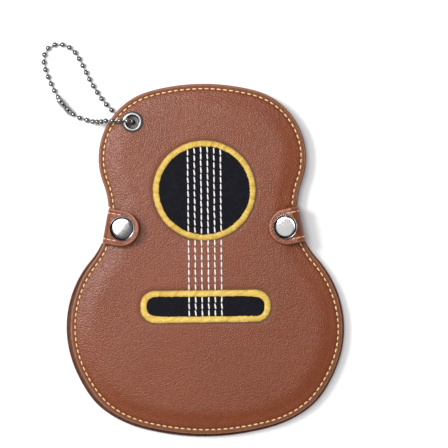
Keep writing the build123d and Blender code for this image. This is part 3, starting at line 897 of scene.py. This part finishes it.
def coupling_shell(start, end):
    """The slotted sleeve round the chain's two end balls, as an open-walled tube."""
    middle, ahead = (start + end) / 2, (end - start) / np.linalg.norm(end - start)
    up = np.array([0, 0, 1.0])
    side = np.cross(ahead, up)
    stations, sides = coupling_stations(), COUPLING_SIDES
    slot_half = math.asin(COUPLING_SLOT_W / 2 / COUPLING_R)
    points, faces = [], []
    for depth in (0.0, COUPLING_WALL):
        for x, r in stations:
            inset = (depth if x < 0 else -depth) * (abs(x) > COUPLING_HALF_L - 0.3)
            radius = max(r - depth, 0.35)
            for k in range(sides):
                a = slot_half + (2 * math.pi - 2 * slot_half) * k / (sides - 1)
                direction = up * math.cos(a) + side * math.sin(a)
                points.append(middle + ahead * (x + inset) + direction * radius)
    rows, layer = len(stations), len(stations) * sides
    slot_reach = COUPLING_HALF_L - COUPLING_SLOT_END
    slotted = [-slot_reach < stations[i][0] and stations[i + 1][0] < slot_reach for i in range(rows - 1)]

    def add(quad, keep):
        faces.append(tuple(quad) if keep else tuple(reversed(quad)))

    for level in (0, 1):
        for i in range(rows - 1):
            for k in range(sides - slotted[i]):
                m = (k + 1) % sides
                quad = (i * sides + k, i * sides + m, (i + 1) * sides + m, (i + 1) * sides + k)
                add([level * layer + n for n in quad], level)
    for i in range(rows - 1):
        for k in (0, sides - 1) if slotted[i] else ():
            j = i + 1
            add([i * sides + k, j * sides + k, layer + j * sides + k, layer + i * sides + k], k == 0)
    for i in (0, rows - 1):
        for k in range(sides):
            m = (k + 1) % sides
            add([i * sides + k, i * sides + m, layer + i * sides + m, layer + i * sides + k], i != 0)
    return np.array(points), faces


COUPLING_LIFT = 0.00036


def make_chain():
    line = route_line()
    _, along = walk(line, closed=False)
    total = along[-1]
    gap = COUPLING_GAP - BALL_PITCH
    count = int((total - gap) // BALL_PITCH) + 1
    places = [i * BALL_PITCH + (gap if i > COUPLING_AFTER_BALL else 0) for i in range(count)]
    centres = [spot(line, along, d) for d in places]
    nudge = 0.4
    headings = [spot(line, along, min(d + nudge, total)) - spot(line, along, max(d - nudge, 0))
                for d in places]
    parts = [ball(c, h) for c, h in zip(centres, headings)]
    pairs = list(zip(centres, centres[1:]))
    closed = pairs.pop(COUPLING_AFTER_BALL)
    parts += [wire(*pair) for pair in pairs]
    points, faces = joined(parts)
    chain = add_piece("ball_chain", points * MM, faces, CHAIN_METAL,
                      ("chain_balls", "chain_links"), "ball_chain", stand=False)
    points, faces = coupling_shell(*closed)
    points = points * MM + [0, 0, COUPLING_LIFT]
    coupling = add_piece("chain_coupling_sleeve", points, faces, COUPLING_METAL,
                         ("chain_coupling",), "ball_chain", stand=False)


# ---------------------------------------------------------------- leather sheets

SEAM_RINGS = (3.1, 2.6, 2.35, 2.15, 1.95, 1.75, 1.5, 1.2, 0.95, 0.72)
BACK_RINGS = (0.75, 1.5, 2.3, 2.8, 3.0, 3.2, 3.4, 3.7)
COVER_CONTOURS = (3.7, 4.5, 5.3, 6.2, 7.3, 8.6, 10.0, 11.5)


def ripple(x, y):
    """Slow, shallow waves of soft leather."""
    return (0.05 * np.sin(0.11 * x + 0.6) * np.cos(0.09 * y)
            + 0.04 * np.sin(0.07 * (x + y) + 1.3) + 0.03 * np.cos(0.16 * x - 0.12 * y))


def cover_rise(points, insets):
    """The cover's height above its flat top at each point: sagging edge, seam groove, pressed spots."""
    x, y = points[:, 0], points[:, 1]
    rise = -EDGE_SAG * (1 - smooth(insets / SAG_WIDTH))
    rise -= 0.28 * np.exp(-((insets - SEAM_INSET) / 0.42) ** 2)
    rise += 0.10 * np.exp(-((insets - SEAM_INSET - 1.7) / 1.1) ** 2)
    rise += ripple(x, y) * smooth(insets / 12)
    from_eyelet = np.hypot(x - EYELET.x, y - EYELET.y)
    rise += (EDGE_SAG * 0.55 - 0.10) * np.exp(-(from_eyelet / 6.5) ** 4) * (1 - smooth(insets / SAG_WIDTH))
    rise -= 0.16 * np.exp(-(border_gap(points) / 0.8) ** 2)
    return rise


def border_gap(points):
    """Each point's distance outside the soundhole's border or the bridge's."""
    x, y = points[:, 0], points[:, 1]
    to_hole = np.hypot(x, (y - HOLE_Y) / HOLE_SQUASH) - HOLE_R
    half_l, half_w = BRIDGE_L / 2 - BRIDGE_CORNER_R, BRIDGE_W / 2 - BRIDGE_CORNER_R
    beside = np.maximum(np.abs(x) - half_l, 0)
    above = np.maximum(np.abs(y - BRIDGE_Y) - half_w, 0)
    to_bridge = np.hypot(beside, above) - BRIDGE_CORNER_R
    return np.minimum(np.abs(to_hole - 0.25), np.abs(to_bridge - 0.25))


def cover_grid():
    """The cover's inner points: finer where it bends, and in rings beside the embroidery."""
    beside = (-0.5, 0.0, 0.4, 0.9, 1.6, 2.4)
    bridge = rounded_loop((0, BRIDGE_Y), BRIDGE_L, BRIDGE_W, BRIDGE_CORNER_R, 0.7)
    rings = [hole_loop(HOLE_R, 240)(-r) for r in beside] + [bridge(-r) for r in beside]
    grid = grid_points((-62, -80), (62, 80), 2.0, [(-11, 7, 1.5)])
    grid = np.concatenate([grid[border_gap(grid) > 2.6], *rings])
    return with_contours(grid, cover_loop, COVER_CONTOURS, 12.5)


def make_cover():
    """The cover's leather and lining, one soft sheet each."""
    rng = random.Random(7)
    eyelet_loop = circle_loop(EYELET, EYELET_HOLE_R, 56)
    cover, surface = make_cover_leather(eyelet_loop)
    lining = make_cover_lining(eyelet_loop)
    seam = cover_plain(SEAM_INSET)
    parts = clear_of_straps(stitch_row(seam, True, SEAM_PITCH, SEAM_DASH, THREAD_R, surface, rng))
    points, faces = joined(parts)
    stitches = add_piece("cover_seam_stitches", points, faces, TAN_THREAD,
                         ("cover_seam_thread_upper", "cover_seam_thread_lower"))
    for piece in (cover, lining, stitches):
        bend(piece)
    eyelet_hole = [eyelet_loop(0)]
    cut_sheet(cover, cover_loop(0), eyelet_hole)
    cut_sheet(lining, lining_loop(0), eyelet_hole)
    return surface


def make_cover_leather(eyelet_loop):
    """The leather, and a function giving the height of its top."""
    profile = edge_profile(LEATHER_T, 0.42, SEAM_RINGS, (1.0, 3.0))
    eyelet_edge = edge_profile(LEATHER_T, 0.15, (0.5, 0.3), (0.5,))
    borders = [(cover_loop, profile), (eyelet_loop, eyelet_edge)]
    points, faces, inset = sheet_mesh(borders, cover_grid(), 1.0)
    by_eyelet(points, inset, cover_loop(0), 9.0)
    seam_inset = past_notches(points, inset, cover_plain(0))
    flat_height = points[:, 2].copy()
    leather = points.copy()
    leather[:, 2] += COVER_TOP + cover_rise(points, seam_inset)
    # A darker strip outside the seam, and painted shade in the seam's groove and in the dents beside the
    # embroidered borders.
    strip = 0.56 * (1 - smooth((seam_inset - SEAM_INSET) / 0.5))
    groove = np.maximum(0.75 * np.exp(-((seam_inset - SEAM_INSET) / 0.42) ** 2), strip)
    groove = np.maximum(groove, 0.9 * np.exp(-(border_gap(points) / 0.6) ** 2))
    cover = add_piece("cover_leather", leather, faces, LEATHER,
                      ("cover_leather_upper", "cover_leather_lower"),
                      edge=np.maximum(edge_band(inset, 0.7, 0.5), groove),
                      rim=painted_edge_highlight(inset, flat_height, LEATHER_T))
    return cover, surface_of(leather[flat_height > -0.01])


def lining_loop(inset):
    return cover_loop(inset + 0.12)


def make_cover_lining(eyelet_loop):
    profile = edge_profile(LINING_T, 0.25, (3.0, 1.5, 0.8), (1.0, 3.0))
    grid = grid_points((-62, -80), (62, 80), 3.0, [(-11, 7, 1.8)])
    grid = with_contours(grid, cover_loop, COVER_CONTOURS[::2], 12.5)
    borders = [(lining_loop, profile), (eyelet_loop, edge_profile(LINING_T, 0.1, (0.5,), (0.5,)))]
    points, faces, inset = sheet_mesh(borders, grid, 1.5)
    by_eyelet(points, inset, cover_loop(0), 7.0)
    points[:, 2] += COVER_TOP - LEATHER_T - 0.02 + cover_rise(points, inset)
    return add_piece("cover_lining", points, faces, LINING,
                     ("cover_lining_upper", "cover_lining_lower"), edge=edge_band(inset, 0.9, 0.9))


def by_eyelet(points, inset, line, reach):
    """Measures the insets of the points round the eyelet's hole from the outline instead."""
    near = np.hypot(points[:, 0] - EYELET.x, points[:, 1] - EYELET.y) < reach
    inset[near] = distance_to(points[near, :2], line)


def bend(piece):
    """Bakes a piece's placement into its mesh."""
    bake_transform(piece)


def make_back():
    """The back leather with its seam showing underneath."""
    rng = random.Random(11)
    profile = edge_profile(BACK_T, 0.4, (3.8, 1.5), BACK_RINGS)
    hole_edge = edge_profile(BACK_T, 0.12, (0.7,), (0.7,))
    eyelet_loop = circle_loop(EYELET, EYELET_HOLE_R, 48)
    grid = grid_points((-63, -80), (63, 80), 3.0)
    points, faces, inset = sheet_mesh([(guitar_loop, profile), (eyelet_loop, hole_edge)], grid, 1.5)
    by_eyelet(points, inset, guitar_loop(0), 7.0)
    bottom = points[:, 2] < -BACK_T / 2 - 0.05
    groove = 0.40 * np.exp(-((inset - BACK_SEAM_INSET) / 0.42) ** 2)
    points[:, 2] += BACK_T
    points[bottom, 2] += groove[bottom]
    shade = 0.45 * np.exp(-((inset - BACK_SEAM_INSET) / 0.5) ** 2)
    # The back's edge takes its lighter edge colour, a painted highlight, and the pale painted highlight
    # along its top.
    edge_tint = np.maximum(edge_band(inset, 1.0, 0.8), shade)
    rim = painted_edge_highlight(inset, points[:, 2] - BACK_T, BACK_T)
    back = add_piece("back_leather_sheet", points, faces, BACK_LEATHER, ("back_leather",),
                     "holder", edge=edge_tint, rim=rim)

    seam = plain_loop(BACK_SEAM_INSET)
    under = stitch_row(seam, True, SEAM_PITCH, SEAM_DASH, BACK_THREAD_R, level(0.38), rng, -0.12, -0.22)
    over = stitch_row(seam, True, SEAM_PITCH, SEAM_DASH, BACK_THREAD_R, level(RIM_TOP - 0.1), rng, 0.1, 0.25)
    away = [p for p in clear_of_straps(over) if np.hypot(*(p[0][:, :2].mean(0) - EYELET)) > 6.2]
    points, faces = joined(clear_of_straps(under) + away)
    stitches = add_piece("back_seam_stitches", points, faces, TAN_THREAD,
                         ("back_seam_thread",), "holder")
    cut_sheet(back, guitar_loop(0), [eyelet_loop(0)])


def slit_loop(centre):
    """A slit as a thin lens with round ends: a function of the inset into the leather round it."""
    def loop(inset):
        count = 30
        t = np.arange(count) / count * 2 * math.pi
        half_l = SLOT_L / 2 + inset
        half_w = SLOT_W / 2 + inset
        x = centre[0] + half_l * np.cos(t)
        y = centre[1] + half_w * np.sign(np.sin(t)) * np.abs(np.sin(t)) ** 0.6
        return np.stack([x, y], 1)
    return loop


def panel_rise(points, inset):
    """Raised over the pick pockets, pressed flat at the rim and round the eyelet."""
    x, y = points[:, 0], points[:, 1]
    rise = PLATEAU_RISE * smooth((inset - PLATEAU_INSET + 1.6) / 2.4)
    from_eyelet = np.hypot(x - EYELET.x, y - EYELET.y)
    return np.maximum(rise, PLATEAU_RISE * (1 - smooth((from_eyelet - 5.0) / 2.0)))


def make_slot_panel():
    rng = random.Random(5)
    centres = [(x, y) for y, row in SLOT_ROWS.items() for x in row]
    profile = edge_profile(PANEL_T, 0.3, (3.4, 2.4, 1.4, 0.8), (1.0, 3.4))
    eyelet_loop = circle_loop(EYELET, EYELET_HOLE_R, 48)
    hole_edge = edge_profile(PANEL_T, 0.12, (0.7,), (0.7,))
    slit_edge = edge_profile(PANEL_T, 0.18, (0.9, 0.5), (0.5,))
    borders = [(panel_loop, profile), (eyelet_loop, hole_edge)]
    borders += [(slit_loop(c), slit_edge) for c in centres]
    grid = grid_points((-62, -80), (62, 80), 2.4)
    grid = with_contours(grid, panel_loop, (4.2, 4.9, 5.4, 6.0, 6.6, 7.2, 8.0), 9.0)
    points, faces, inset = sheet_mesh(borders, grid, 1.2)
    count = len(panel_loop(0)) * len(profile)
    inset[count:] = distance_to(points[count:, :2], panel_loop(0))
    to_slit = np.full(len(points), 99.0)
    for x, y in centres:
        along = np.maximum(np.abs(points[:, 0] - x) - SLOT_L / 2, 0)
        to_slit = np.minimum(to_slit, np.hypot(along, points[:, 1] - y))
    points[:, 2] += RIM_TOP + panel_rise(points, inset) + 0.10 * np.exp(-((to_slit - 0.5) / 0.4) ** 2)
    # The panel's edge and the slits' edges take its near-black edge colour: painted shade below the cover's
    # edge and inside the slits.
    edge_tint = np.maximum(edge_band(inset, 1.6, 1.0), 0.7 * np.exp(-(to_slit / 0.45) ** 2))
    panel = add_piece("slotted_inner_panel", points, faces, PANEL_LEATHER, ("slot_panel",),
                      "holder", edge=edge_tint)
    parts, plateau = [], level(RIM_TOP + PLATEAU_RISE)
    for centre in centres:
        line = rounded_loop(centre, SLOT_FRAME_L, SLOT_FRAME_W, 0.5, 0.5)(0)
        parts += stitch_row(line, True, SLOT_STITCH, SLOT_DASH, SLOT_THREAD_R, plateau, rng, 0.08, 0.25)
    points, faces = joined(parts)
    stitches = add_piece("slot_stitches", points, faces, TAN_THREAD, ("slot_threads",),
                         "holder")
    holes = [eyelet_loop(0)] + [slit_loop(c)(0) for c in centres]
    cut_sheet(panel, panel_loop(0), holes)


# ---------------------------------------------------------------- embroidery

SATIN_PITCH, SATIN_LEAN, SATIN_R = 0.36, 0.0022, 0.215
PATCH_TOP, PATCH_INSET = 0.32, 1.2
PAD_PROFILE = [
    (BORDER_W - 0.15, 0.02), (BORDER_W - 0.35, 0.22), (BORDER_W * 0.7, 0.42), (BORDER_W / 2, 0.48),
    (BORDER_W * 0.3, 0.42), (0.35, 0.22), (0.15, 0.02),
]


def satin_pad(loop, surface_z):
    """The padding under a satin border, a closed ring."""
    rings = [loop(inset) for inset, _ in PAD_PROFILE]
    count = len(rings[0])
    points = [np.column_stack([r, np.full(count, surface_z + h)]) for r, (_, h) in zip(rings, PAD_PROFILE)]
    points = np.concatenate(points)
    faces = band_faces(len(rings), count)
    last = len(points) - count
    faces += [(last + i, i, (i + 1) % count, last + (i + 1) % count) for i in range(count)]
    return points, facing_out(points, faces)


def satin_ring(name, loop, surface_z, nodes, body, rng):
    """A raised border of satin stitches: thread after thread laid across it, close together."""
    pad = satin_pad(loop, surface_z)
    _, along = walk(loop(BORDER_W / 2))
    outer, outer_along = walk(loop(0.0))
    inner, inner_along = walk(loop(BORDER_W))
    threads = int(along[-1] / SATIN_PITCH)
    parts, tones = [pad], [np.full(len(pad[0]), 0.8)]
    for i in range(threads):
        if i % 4 == 0:
            out, into, lift = (rng.uniform(-0.15, 0.15) for _ in range(3))
            tone = max(0.0, rng.uniform(-0.40, 0.95))
        share = (i + rng.uniform(-0.15, 0.15)) / threads
        a = spot(outer, outer_along, (share - SATIN_LEAN) % 1 * outer_along[-1])
        b = spot(inner, inner_along, (share + SATIN_LEAN) % 1 * inner_along[-1])
        across = (b - a) / np.linalg.norm(b - a)
        a = a + across * (out + rng.uniform(-0.04, 0.04))
        b = b + across * (into + rng.uniform(-0.04, 0.04))
        path = []
        for t in np.linspace(0, 1, 7):
            height = 0.04 + (0.50 + 0.5 * lift) * (1 - abs(2 * t - 1) ** 2.6)
            path.append((*(a + (b - a) * t), surface_z + height + rng.uniform(-0.02, 0.02)))
        parts.append(tube_along(path, SATIN_R, 6, 4.0, 0.08, 0.9))
        tones.append(np.full(len(parts[-1][0]), np.clip(tone + rng.uniform(-0.1, 0.1), 0, 1)))
    points, faces = joined(parts)
    return add_piece(name, points, faces, SATIN, nodes, body, edge=np.concatenate(tones))


def patch(name, loop, nodes, body, height):
    """A twill patch, its raw edge under the border."""
    profile = [(1.5, 0.0), (0.6, 0.0), (0.2, -0.02), (0.0, -0.12), (0.2, -0.3), (1.5, -0.3)]
    grid = grid_points((-30, -32), (30, 56), 1.6)
    points, faces, _ = sheet_mesh([(loop, profile)], grid, 0.8)
    points[:, 2] += height(points[:, 0], points[:, 1])
    piece = add_piece(name, points, faces, TWILL, nodes, body)
    cut_sheet(piece, loop(0), [])


def string_row(x, low, high, surface, rng):
    """One string's stitches from high to low, each slightly aslant."""
    line = np.array([(x + rng.uniform(-0.06, 0.06), y) for y in np.linspace(high, low, 12)])
    skew = 0.06 + rng.uniform(-0.05, 0.05)
    return stitch_row(line, False, STRING_STITCH, STRING_DASH, STRING_R, surface, rng, 0.22, 0.22, skew)


def make_embroidery(surface):
    rng = random.Random(3)
    base = COVER_TOP - 0.05
    hole = hole_loop(HOLE_R, 420)
    bridge = rounded_loop((0, BRIDGE_Y), BRIDGE_L, BRIDGE_W, BRIDGE_CORNER_R, 0.4)
    satin_ring("soundhole_satin_border", hole, base, ("soundhole_border",), "holder", rng)
    satin_ring("bridge_satin_border", bridge, base, ("bridge_border",), "cover_flap", rng)

    def dip(x, y):
        return base + PATCH_TOP + 0.03 * np.sin(0.5 * x) * np.cos(0.4 * y)

    patch("soundhole_twill", hole_loop(HOLE_R - PATCH_INSET, 200), ("soundhole_patch",), "holder", dip)
    inner = rounded_loop((0, BRIDGE_Y), BRIDGE_L - 2 * PATCH_INSET, BRIDGE_W - 2 * PATCH_INSET,
                         BRIDGE_CORNER_R - PATCH_INSET, 0.6)
    patch("bridge_twill", inner, ("bridge_patch",), "cover_flap", dip)

    first = -STRING_PITCH * (STRING_COUNT - 1) / 2
    upper, crossing, lower = [], [], []
    hole_reach = HOLE_R - BORDER_W + 0.25
    bridge_reach = BRIDGE_W / 2 - BORDER_W + 0.3
    bridge_top, hole_foot = BRIDGE_Y + BRIDGE_W / 2 - 0.2, HOLE_Y - HOLE_R * HOLE_SQUASH + 0.6
    for i in range(STRING_COUNT):
        x = first + i * STRING_PITCH
        reach = math.sqrt(hole_reach**2 - x**2) * HOLE_SQUASH
        upper += string_row(x, HOLE_Y - reach, HOLE_Y + reach, dip, rng)
        crossing += string_row(x, bridge_top, hole_foot, surface, rng)
        lower += string_row(x, BRIDGE_Y - bridge_reach, BRIDGE_Y + bridge_reach, dip, rng)
    points, faces = joined(upper + crossing)
    strings = add_piece("string_stitches_upper", points, faces, WHITE_THREAD,
                        ("string_threads_upper",))
    bend(strings)
    points, faces = joined(lower)
    add_piece("string_stitches_bridge", points, faces, WHITE_THREAD,
              ("string_threads_lower",), "cover_flap")


# ---------------------------------------------------------------- snap tabs

ROOT_X, ROOT_Z = -5.0, 1.45
LOW_BEND_X, LOW_BEND_R = -2.4, 1.3
TOP_BEND_R = 2.0
STRAP_SPLIT = 5.4


def strap_line():
    """The strap's mid-line in the tab's (x, z) plane, from its root to its tip, finely sampled."""
    riser_x = LOW_BEND_X + LOW_BEND_R
    low_centre = (LOW_BEND_X, ROOT_Z + LOW_BEND_R)
    top_centre = (riser_x - TOP_BEND_R, STRAP_MID_Z - TOP_BEND_R)
    root = np.stack([np.linspace(ROOT_X, LOW_BEND_X, 12), np.full(12, ROOT_Z)], 1)
    first = arc(low_centre, LOW_BEND_R, -90, 90, 12)
    climb = np.stack([np.full(20, riser_x), np.linspace(low_centre[1], top_centre[1], 20)], 1)
    second = arc(top_centre, TOP_BEND_R, 0, 90, 16)
    tip_x = SNAP_X - TIP_REACH
    xs = np.linspace(top_centre[0], tip_x, 40)
    lift = 1.2 * smooth((-xs - 9.0) / 7.0)
    flat = np.stack([xs, STRAP_MID_Z + lift], 1)
    line = np.concatenate([root, first, climb, second, flat])
    return line[np.concatenate([[True], np.linalg.norm(np.diff(line, axis=0), axis=1) > 1e-6])]


def wrap(points, side):
    """Points (along, across, height from the mid-line) bent along the strap's line, in the flat drawing."""
    line = strap_line()
    _, along = walk(line, closed=False)
    tangent = np.gradient(line, axis=0) / np.gradient(along)[:, None]
    tangent /= np.linalg.norm(tangent, axis=1)[:, None]
    u = np.clip(points[:, 0], 0, along[-1])
    x, z = (np.interp(u, along, line[:, k]) for k in (0, 1))
    tx, tz = (np.interp(u, along, tangent[:, k]) for k in (0, 1))
    local = np.stack([x + tz * points[:, 2], points[:, 1]], 1)
    flat = from_tab(local, np.full(len(local), float(side)))
    rise = tilt_of(side) * (SNAP_X - x) * smooth((-x - 1.2) / 3.2)
    return np.column_stack([flat, z - tx * points[:, 2] + rise])


def tilt_of(side):
    """The right snap sits tilted inwards, its strap's tip pressed down; the left one lies flat."""
    return RIGHT_TILT if side > 0 else 0.0


def strap_length():
    _, along = walk(strap_line(), closed=False)
    return along[-1]


def strap_loop(start):
    """The strap's flat outline from a start, square there, with its round tip."""
    length = strap_length()

    def loop(inset):
        centre = length - TIP_ROUND
        end = arc((0, 0), 1.0, -90, 180, 72) * [TIP_ROUND - inset, TAB_HALF_W - inset] + [centre, 0]
        ups = np.linspace(centre, start, 60)[:, None]
        top = np.column_stack([ups, np.full(60, TAB_HALF_W - inset)])
        down = np.linspace(TAB_HALF_W - inset, -(TAB_HALF_W - inset), 28)[1:-1, None]
        back = np.column_stack([np.full(26, start), down])
        bottom = np.column_stack([ups[::-1], np.full(60, -(TAB_HALF_W - inset))])
        return np.concatenate([end, top, back, bottom[:-1]])
    return loop


def strap_height(along):
    """Half the strap's thickness: skived thin at its root."""
    return 0.25 + (STRAP_HALF_T - 0.25) * smooth((along - 1.6) / 3.0)


TAB_SEAM_Y = 5.8
TAB_SEAM_INSET = TAB_HALF_W - TAB_SEAM_Y
TAB_STITCH, TAB_DASH, TAB_THREAD_R = 2.5, 2.1, 0.25


def strap_profile():
    """Two plies: rounded faces with a groove between them at the edge.
    Heights are shares of the half thickness."""
    top = [(inset, 1.0) for inset in (4.0, 3.2, 2.8, TAB_SEAM_INSET, 2.0, 1.6, 1.0)]
    turn = [(0.5, 0.985), (0.28, 0.93), (0.12, 0.82), (0.02, 0.62), (0.0, 0.4), (0.03, 0.16), (0.12, 0.0)]
    upper = top + turn
    lower = [(inset, -height) for inset, height in reversed(upper[:-1])]
    return upper + lower


def strap_sheet():
    """The whole strap, flat, as points, faces and how strongly each point takes the pale painted highlight
    along its edge.
    """
    grid = grid_points((-1, -8), (strap_length() + 1, 8), 0.9)
    loop = strap_loop(0.0)
    points, faces, inset = sheet_mesh([(loop, strap_profile())], grid, 0.5)
    rows = TAB_HALF_W - np.abs(points[:, 1])
    along_seam = np.exp(-((rows - TAB_SEAM_INSET) / 0.35) ** 2) * (points[:, 2] > 0.5)
    along_seam *= smooth((strap_length() - 9.0 - points[:, 0]) / 2.0)
    half = strap_height(points[:, 0])
    # A pale line painted along the top of the edge: a painted highlight, faint along the seam and half
    # strength at the root.
    rim = np.exp(-((inset - 0.35) / 0.3) ** 2) * (points[:, 2] > 0.3)
    edge_tint = np.maximum(0.75 * rim, 0.1 * along_seam)
    edge_tint[points[:, 0] < 0.5] = 0.5
    bowed = 0.10 * (points[:, 1] / TAB_HALF_W) ** 2
    points[:, 2] = points[:, 2] * half - 0.16 * along_seam - bowed * (half > 1)
    return points, faces, edge_tint


def split_strap(points, faces, edge_tint, split, base):
    """The faces wholly on one side of the split, with their points."""
    faces = [f for f in faces if (np.mean([points[i, 0] for i in f]) < split) == base]
    used = sorted({i for f in faces for i in f})
    new = {old: k for k, old in enumerate(used)}
    return points[used], [tuple(new[i] for i in f) for f in faces], edge_tint[used]


def tab_point(x, z, side):
    """A point of the tab's (x, z) plane, in the frame."""
    flat = from_tab(np.array([[x, 0.0]]), np.array([float(side)]))[0]
    return at(flat[0], flat[1], z)


def turned_for(side, faces):
    """The faces to go with wrap, which turns the right strap's surface inside out."""
    return [tuple(reversed(f)) for f in faces] if side > 0 else faces


def fold_blend(piece, side):
    """Works out two points of the strap's upper fold, keeps neither, and bakes a piece's placement into its
    mesh.
    """
    tab_point(-1.1, 7.6, side)
    tab_point(-3.4, 9.9, side)
    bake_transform(piece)


def make_tab(side, name):
    rng = random.Random(20 + side)
    whole = strap_sheet()
    made = []
    for part, is_base in (("base", True), ("end", False)):
        points, faces, edge_tint = split_strap(*whole, STRAP_SPLIT, is_base)
        nodes = (f"{name}_tab_outer_{part}", f"{name}_tab_inner_{part}")
        if is_base:
            nodes = (f"{name}_tab_root", *nodes)
        made.append(add_piece(f"{name}_strap_{part}", wrap(points, side), turned_for(side, faces),
                              LEATHER, nodes, rim=edge_tint))
    base, end = made
    tab_point(-2.45, 1.45, side)
    tab_point(-1.1, 3.0, side)
    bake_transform(base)
    fold_blend(end, side)
    rows = []
    for y in (-TAB_SEAM_Y, TAB_SEAM_Y):
        line = np.array([(u, y) for u in np.linspace(7.4, strap_length() - 9.0, 12)])
        rows += stitch_row(line, False, TAB_STITCH, TAB_DASH, TAB_THREAD_R, level(STRAP_HALF_T - 0.16),
                           rng, 0.12, 0.25)
    points, faces = joined(rows)
    stitches = add_piece(f"{name}_strap_stitches", wrap(points, side), turned_for(side, faces),
                         STRAP_THREAD, (f"{name}_tab_thread",))
    fold_blend(stitches, side)


CAP_SHAPE = [
    (0.0, 0.05), (0.0, 5.15), (0.18, 5.34), (0.45, 5.4), (0.75, 5.4), (0.88, 5.34), (0.92, 5.22),
    (0.86, 5.05), (0.78, 4.85), (0.72, 4.72), (0.66, 4.62), (0.68, 4.54), (0.95, 4.48), (1.10, 4.42),
    (1.18, 4.30), (1.205, 4.1), (1.222, 3.2), (1.236, 2.2), (1.245, 1.1), (1.25, 0.05),
]


def make_cap(side, name):
    """The snap's cap: a shallow disc of mirror-bright steel in a rolled rim with a groove between them,
    painted dark.
    """
    centre = from_tab(np.array([[SNAP_X, 0.0]]), np.array([float(side)]))[0]
    points, faces = lathe(CAP_SHAPE, np.zeros(3), (0, 0, 1), 72)
    radius = np.hypot(points[:, 0], points[:, 1])
    # Painted dark reflection: the groove is painted near-black all round, the rim only on its lower-left
    # side, leaving its upper-right side bright.
    flange = smooth((radius - 4.42) / 0.06) * (points[:, 2] > 0.6)
    towards = 0.5 - 0.5 * (points[:, 0] + points[:, 1]) / np.maximum(radius, 0.1) / math.sqrt(2)
    bright_rim_side = smooth((radius - 4.75) / 0.15) * (1.0 - 0.95 * smooth((towards - 0.45) / 0.3))
    groove = flange * (1.0 - 0.85 * bright_rim_side)
    button = (radius < 4.6) & (points[:, 2] > 0.6)
    points[button, :2] += np.array([0.10, 0.10])
    points = tilted(points, side) + np.array([*centre, STRAP_MID_Z + STRAP_HALF_T])
    add_piece(f"{name}_polished_cap", points, faces, CAP_STEEL, (f"{name}_snap_cap",),
              f"{name}_tab_end", edge=groove)


def tilted(points, side):
    """The cap's points turned with the strap under it."""
    turn = Matrix.Rotation(-side * TAB_SPLAY, 3, "Z")
    lean = Matrix.Rotation(math.atan(tilt_of(side)), 3, "Y")
    spin = np.array(turn @ lean @ turn.inverted())
    return points @ spin.T


def make_eyelets():
    """The rolled eyelet in the cover and the one in the back."""
    for name, face, down, rise in (("cover_eyelet", COVER_TOP, 1, 0.5), ("back_eyelet", 0.0, -1, 0.4)):
        flange = [(-2.6, 2.8), (-1.0, 2.78), (0.0, 2.76), (0.6 * rise, 2.86), (0.9 * rise, 3.05),
                  (rise, 3.35), (0.98 * rise, 3.75), (0.85 * rise, 4.2), (0.55 * rise, 4.58),
                  (0.2 * rise, 4.74), (0.0, 4.72), (-0.06, 4.5), (-0.06, 3.4), (-0.4, 3.12), (-2.6, 3.1)]
        points, faces = ring_lathe(flange, 72)
        points[:, 2] = face + down * points[:, 2]
        if down < 0:
            faces = [tuple(reversed(f)) for f in faces]
        points[:, :2] += np.array(EYELET)
        radius = np.hypot(points[:, 0] - EYELET.x, points[:, 1] - EYELET.y)
        # The inside of the hole is painted near-black: painted shade.
        painted_bore_shade = 1 - smooth((radius - 2.83) / 0.12)
        add_piece(f"{name}_ring", points, faces, NICKEL, (name,), "holder", edge=painted_bore_shade)


def ring_lathe(profile, sides):
    """A ring turned about the Z axis from a closed section of (height, radius)."""
    count = len(profile)
    points, faces = [], []
    for k in range(sides):
        a = 2 * math.pi * k / sides
        points += [(r * math.cos(a), r * math.sin(a), h) for h, r in profile]
    for k in range(sides):
        m = (k + 1) % sides
        for i in range(count):
            j = (i + 1) % count
            faces.append((k * count + i, m * count + i, m * count + j, k * count + j))
    points = np.array(points)
    return points, facing_out(points, faces)


def dress_cad_metal():
    """Metal finishes on the hardware that stays as the CAD made it."""
    names = ["back_eyelet_washer", "cover_eyelet_washer"]
    for side in ("left", "right"):
        names += [f"{side}_snap_socket", f"{side}_stud", f"{side}_stud_post"]
    for name in names:
        node = frame["nodes"][name]
        node.data.materials.clear()
        node.data.materials.append(NICKEL)


make_camera()
make_chain()
make_studio()
cover_surface = make_cover()
make_back()
make_slot_panel()
make_embroidery(cover_surface)
for side, name in ((-1, "left"), (1, "right")):
    make_tab(side, name)
    make_cap(side, name)
make_eyelets()
dress_cad_metal()
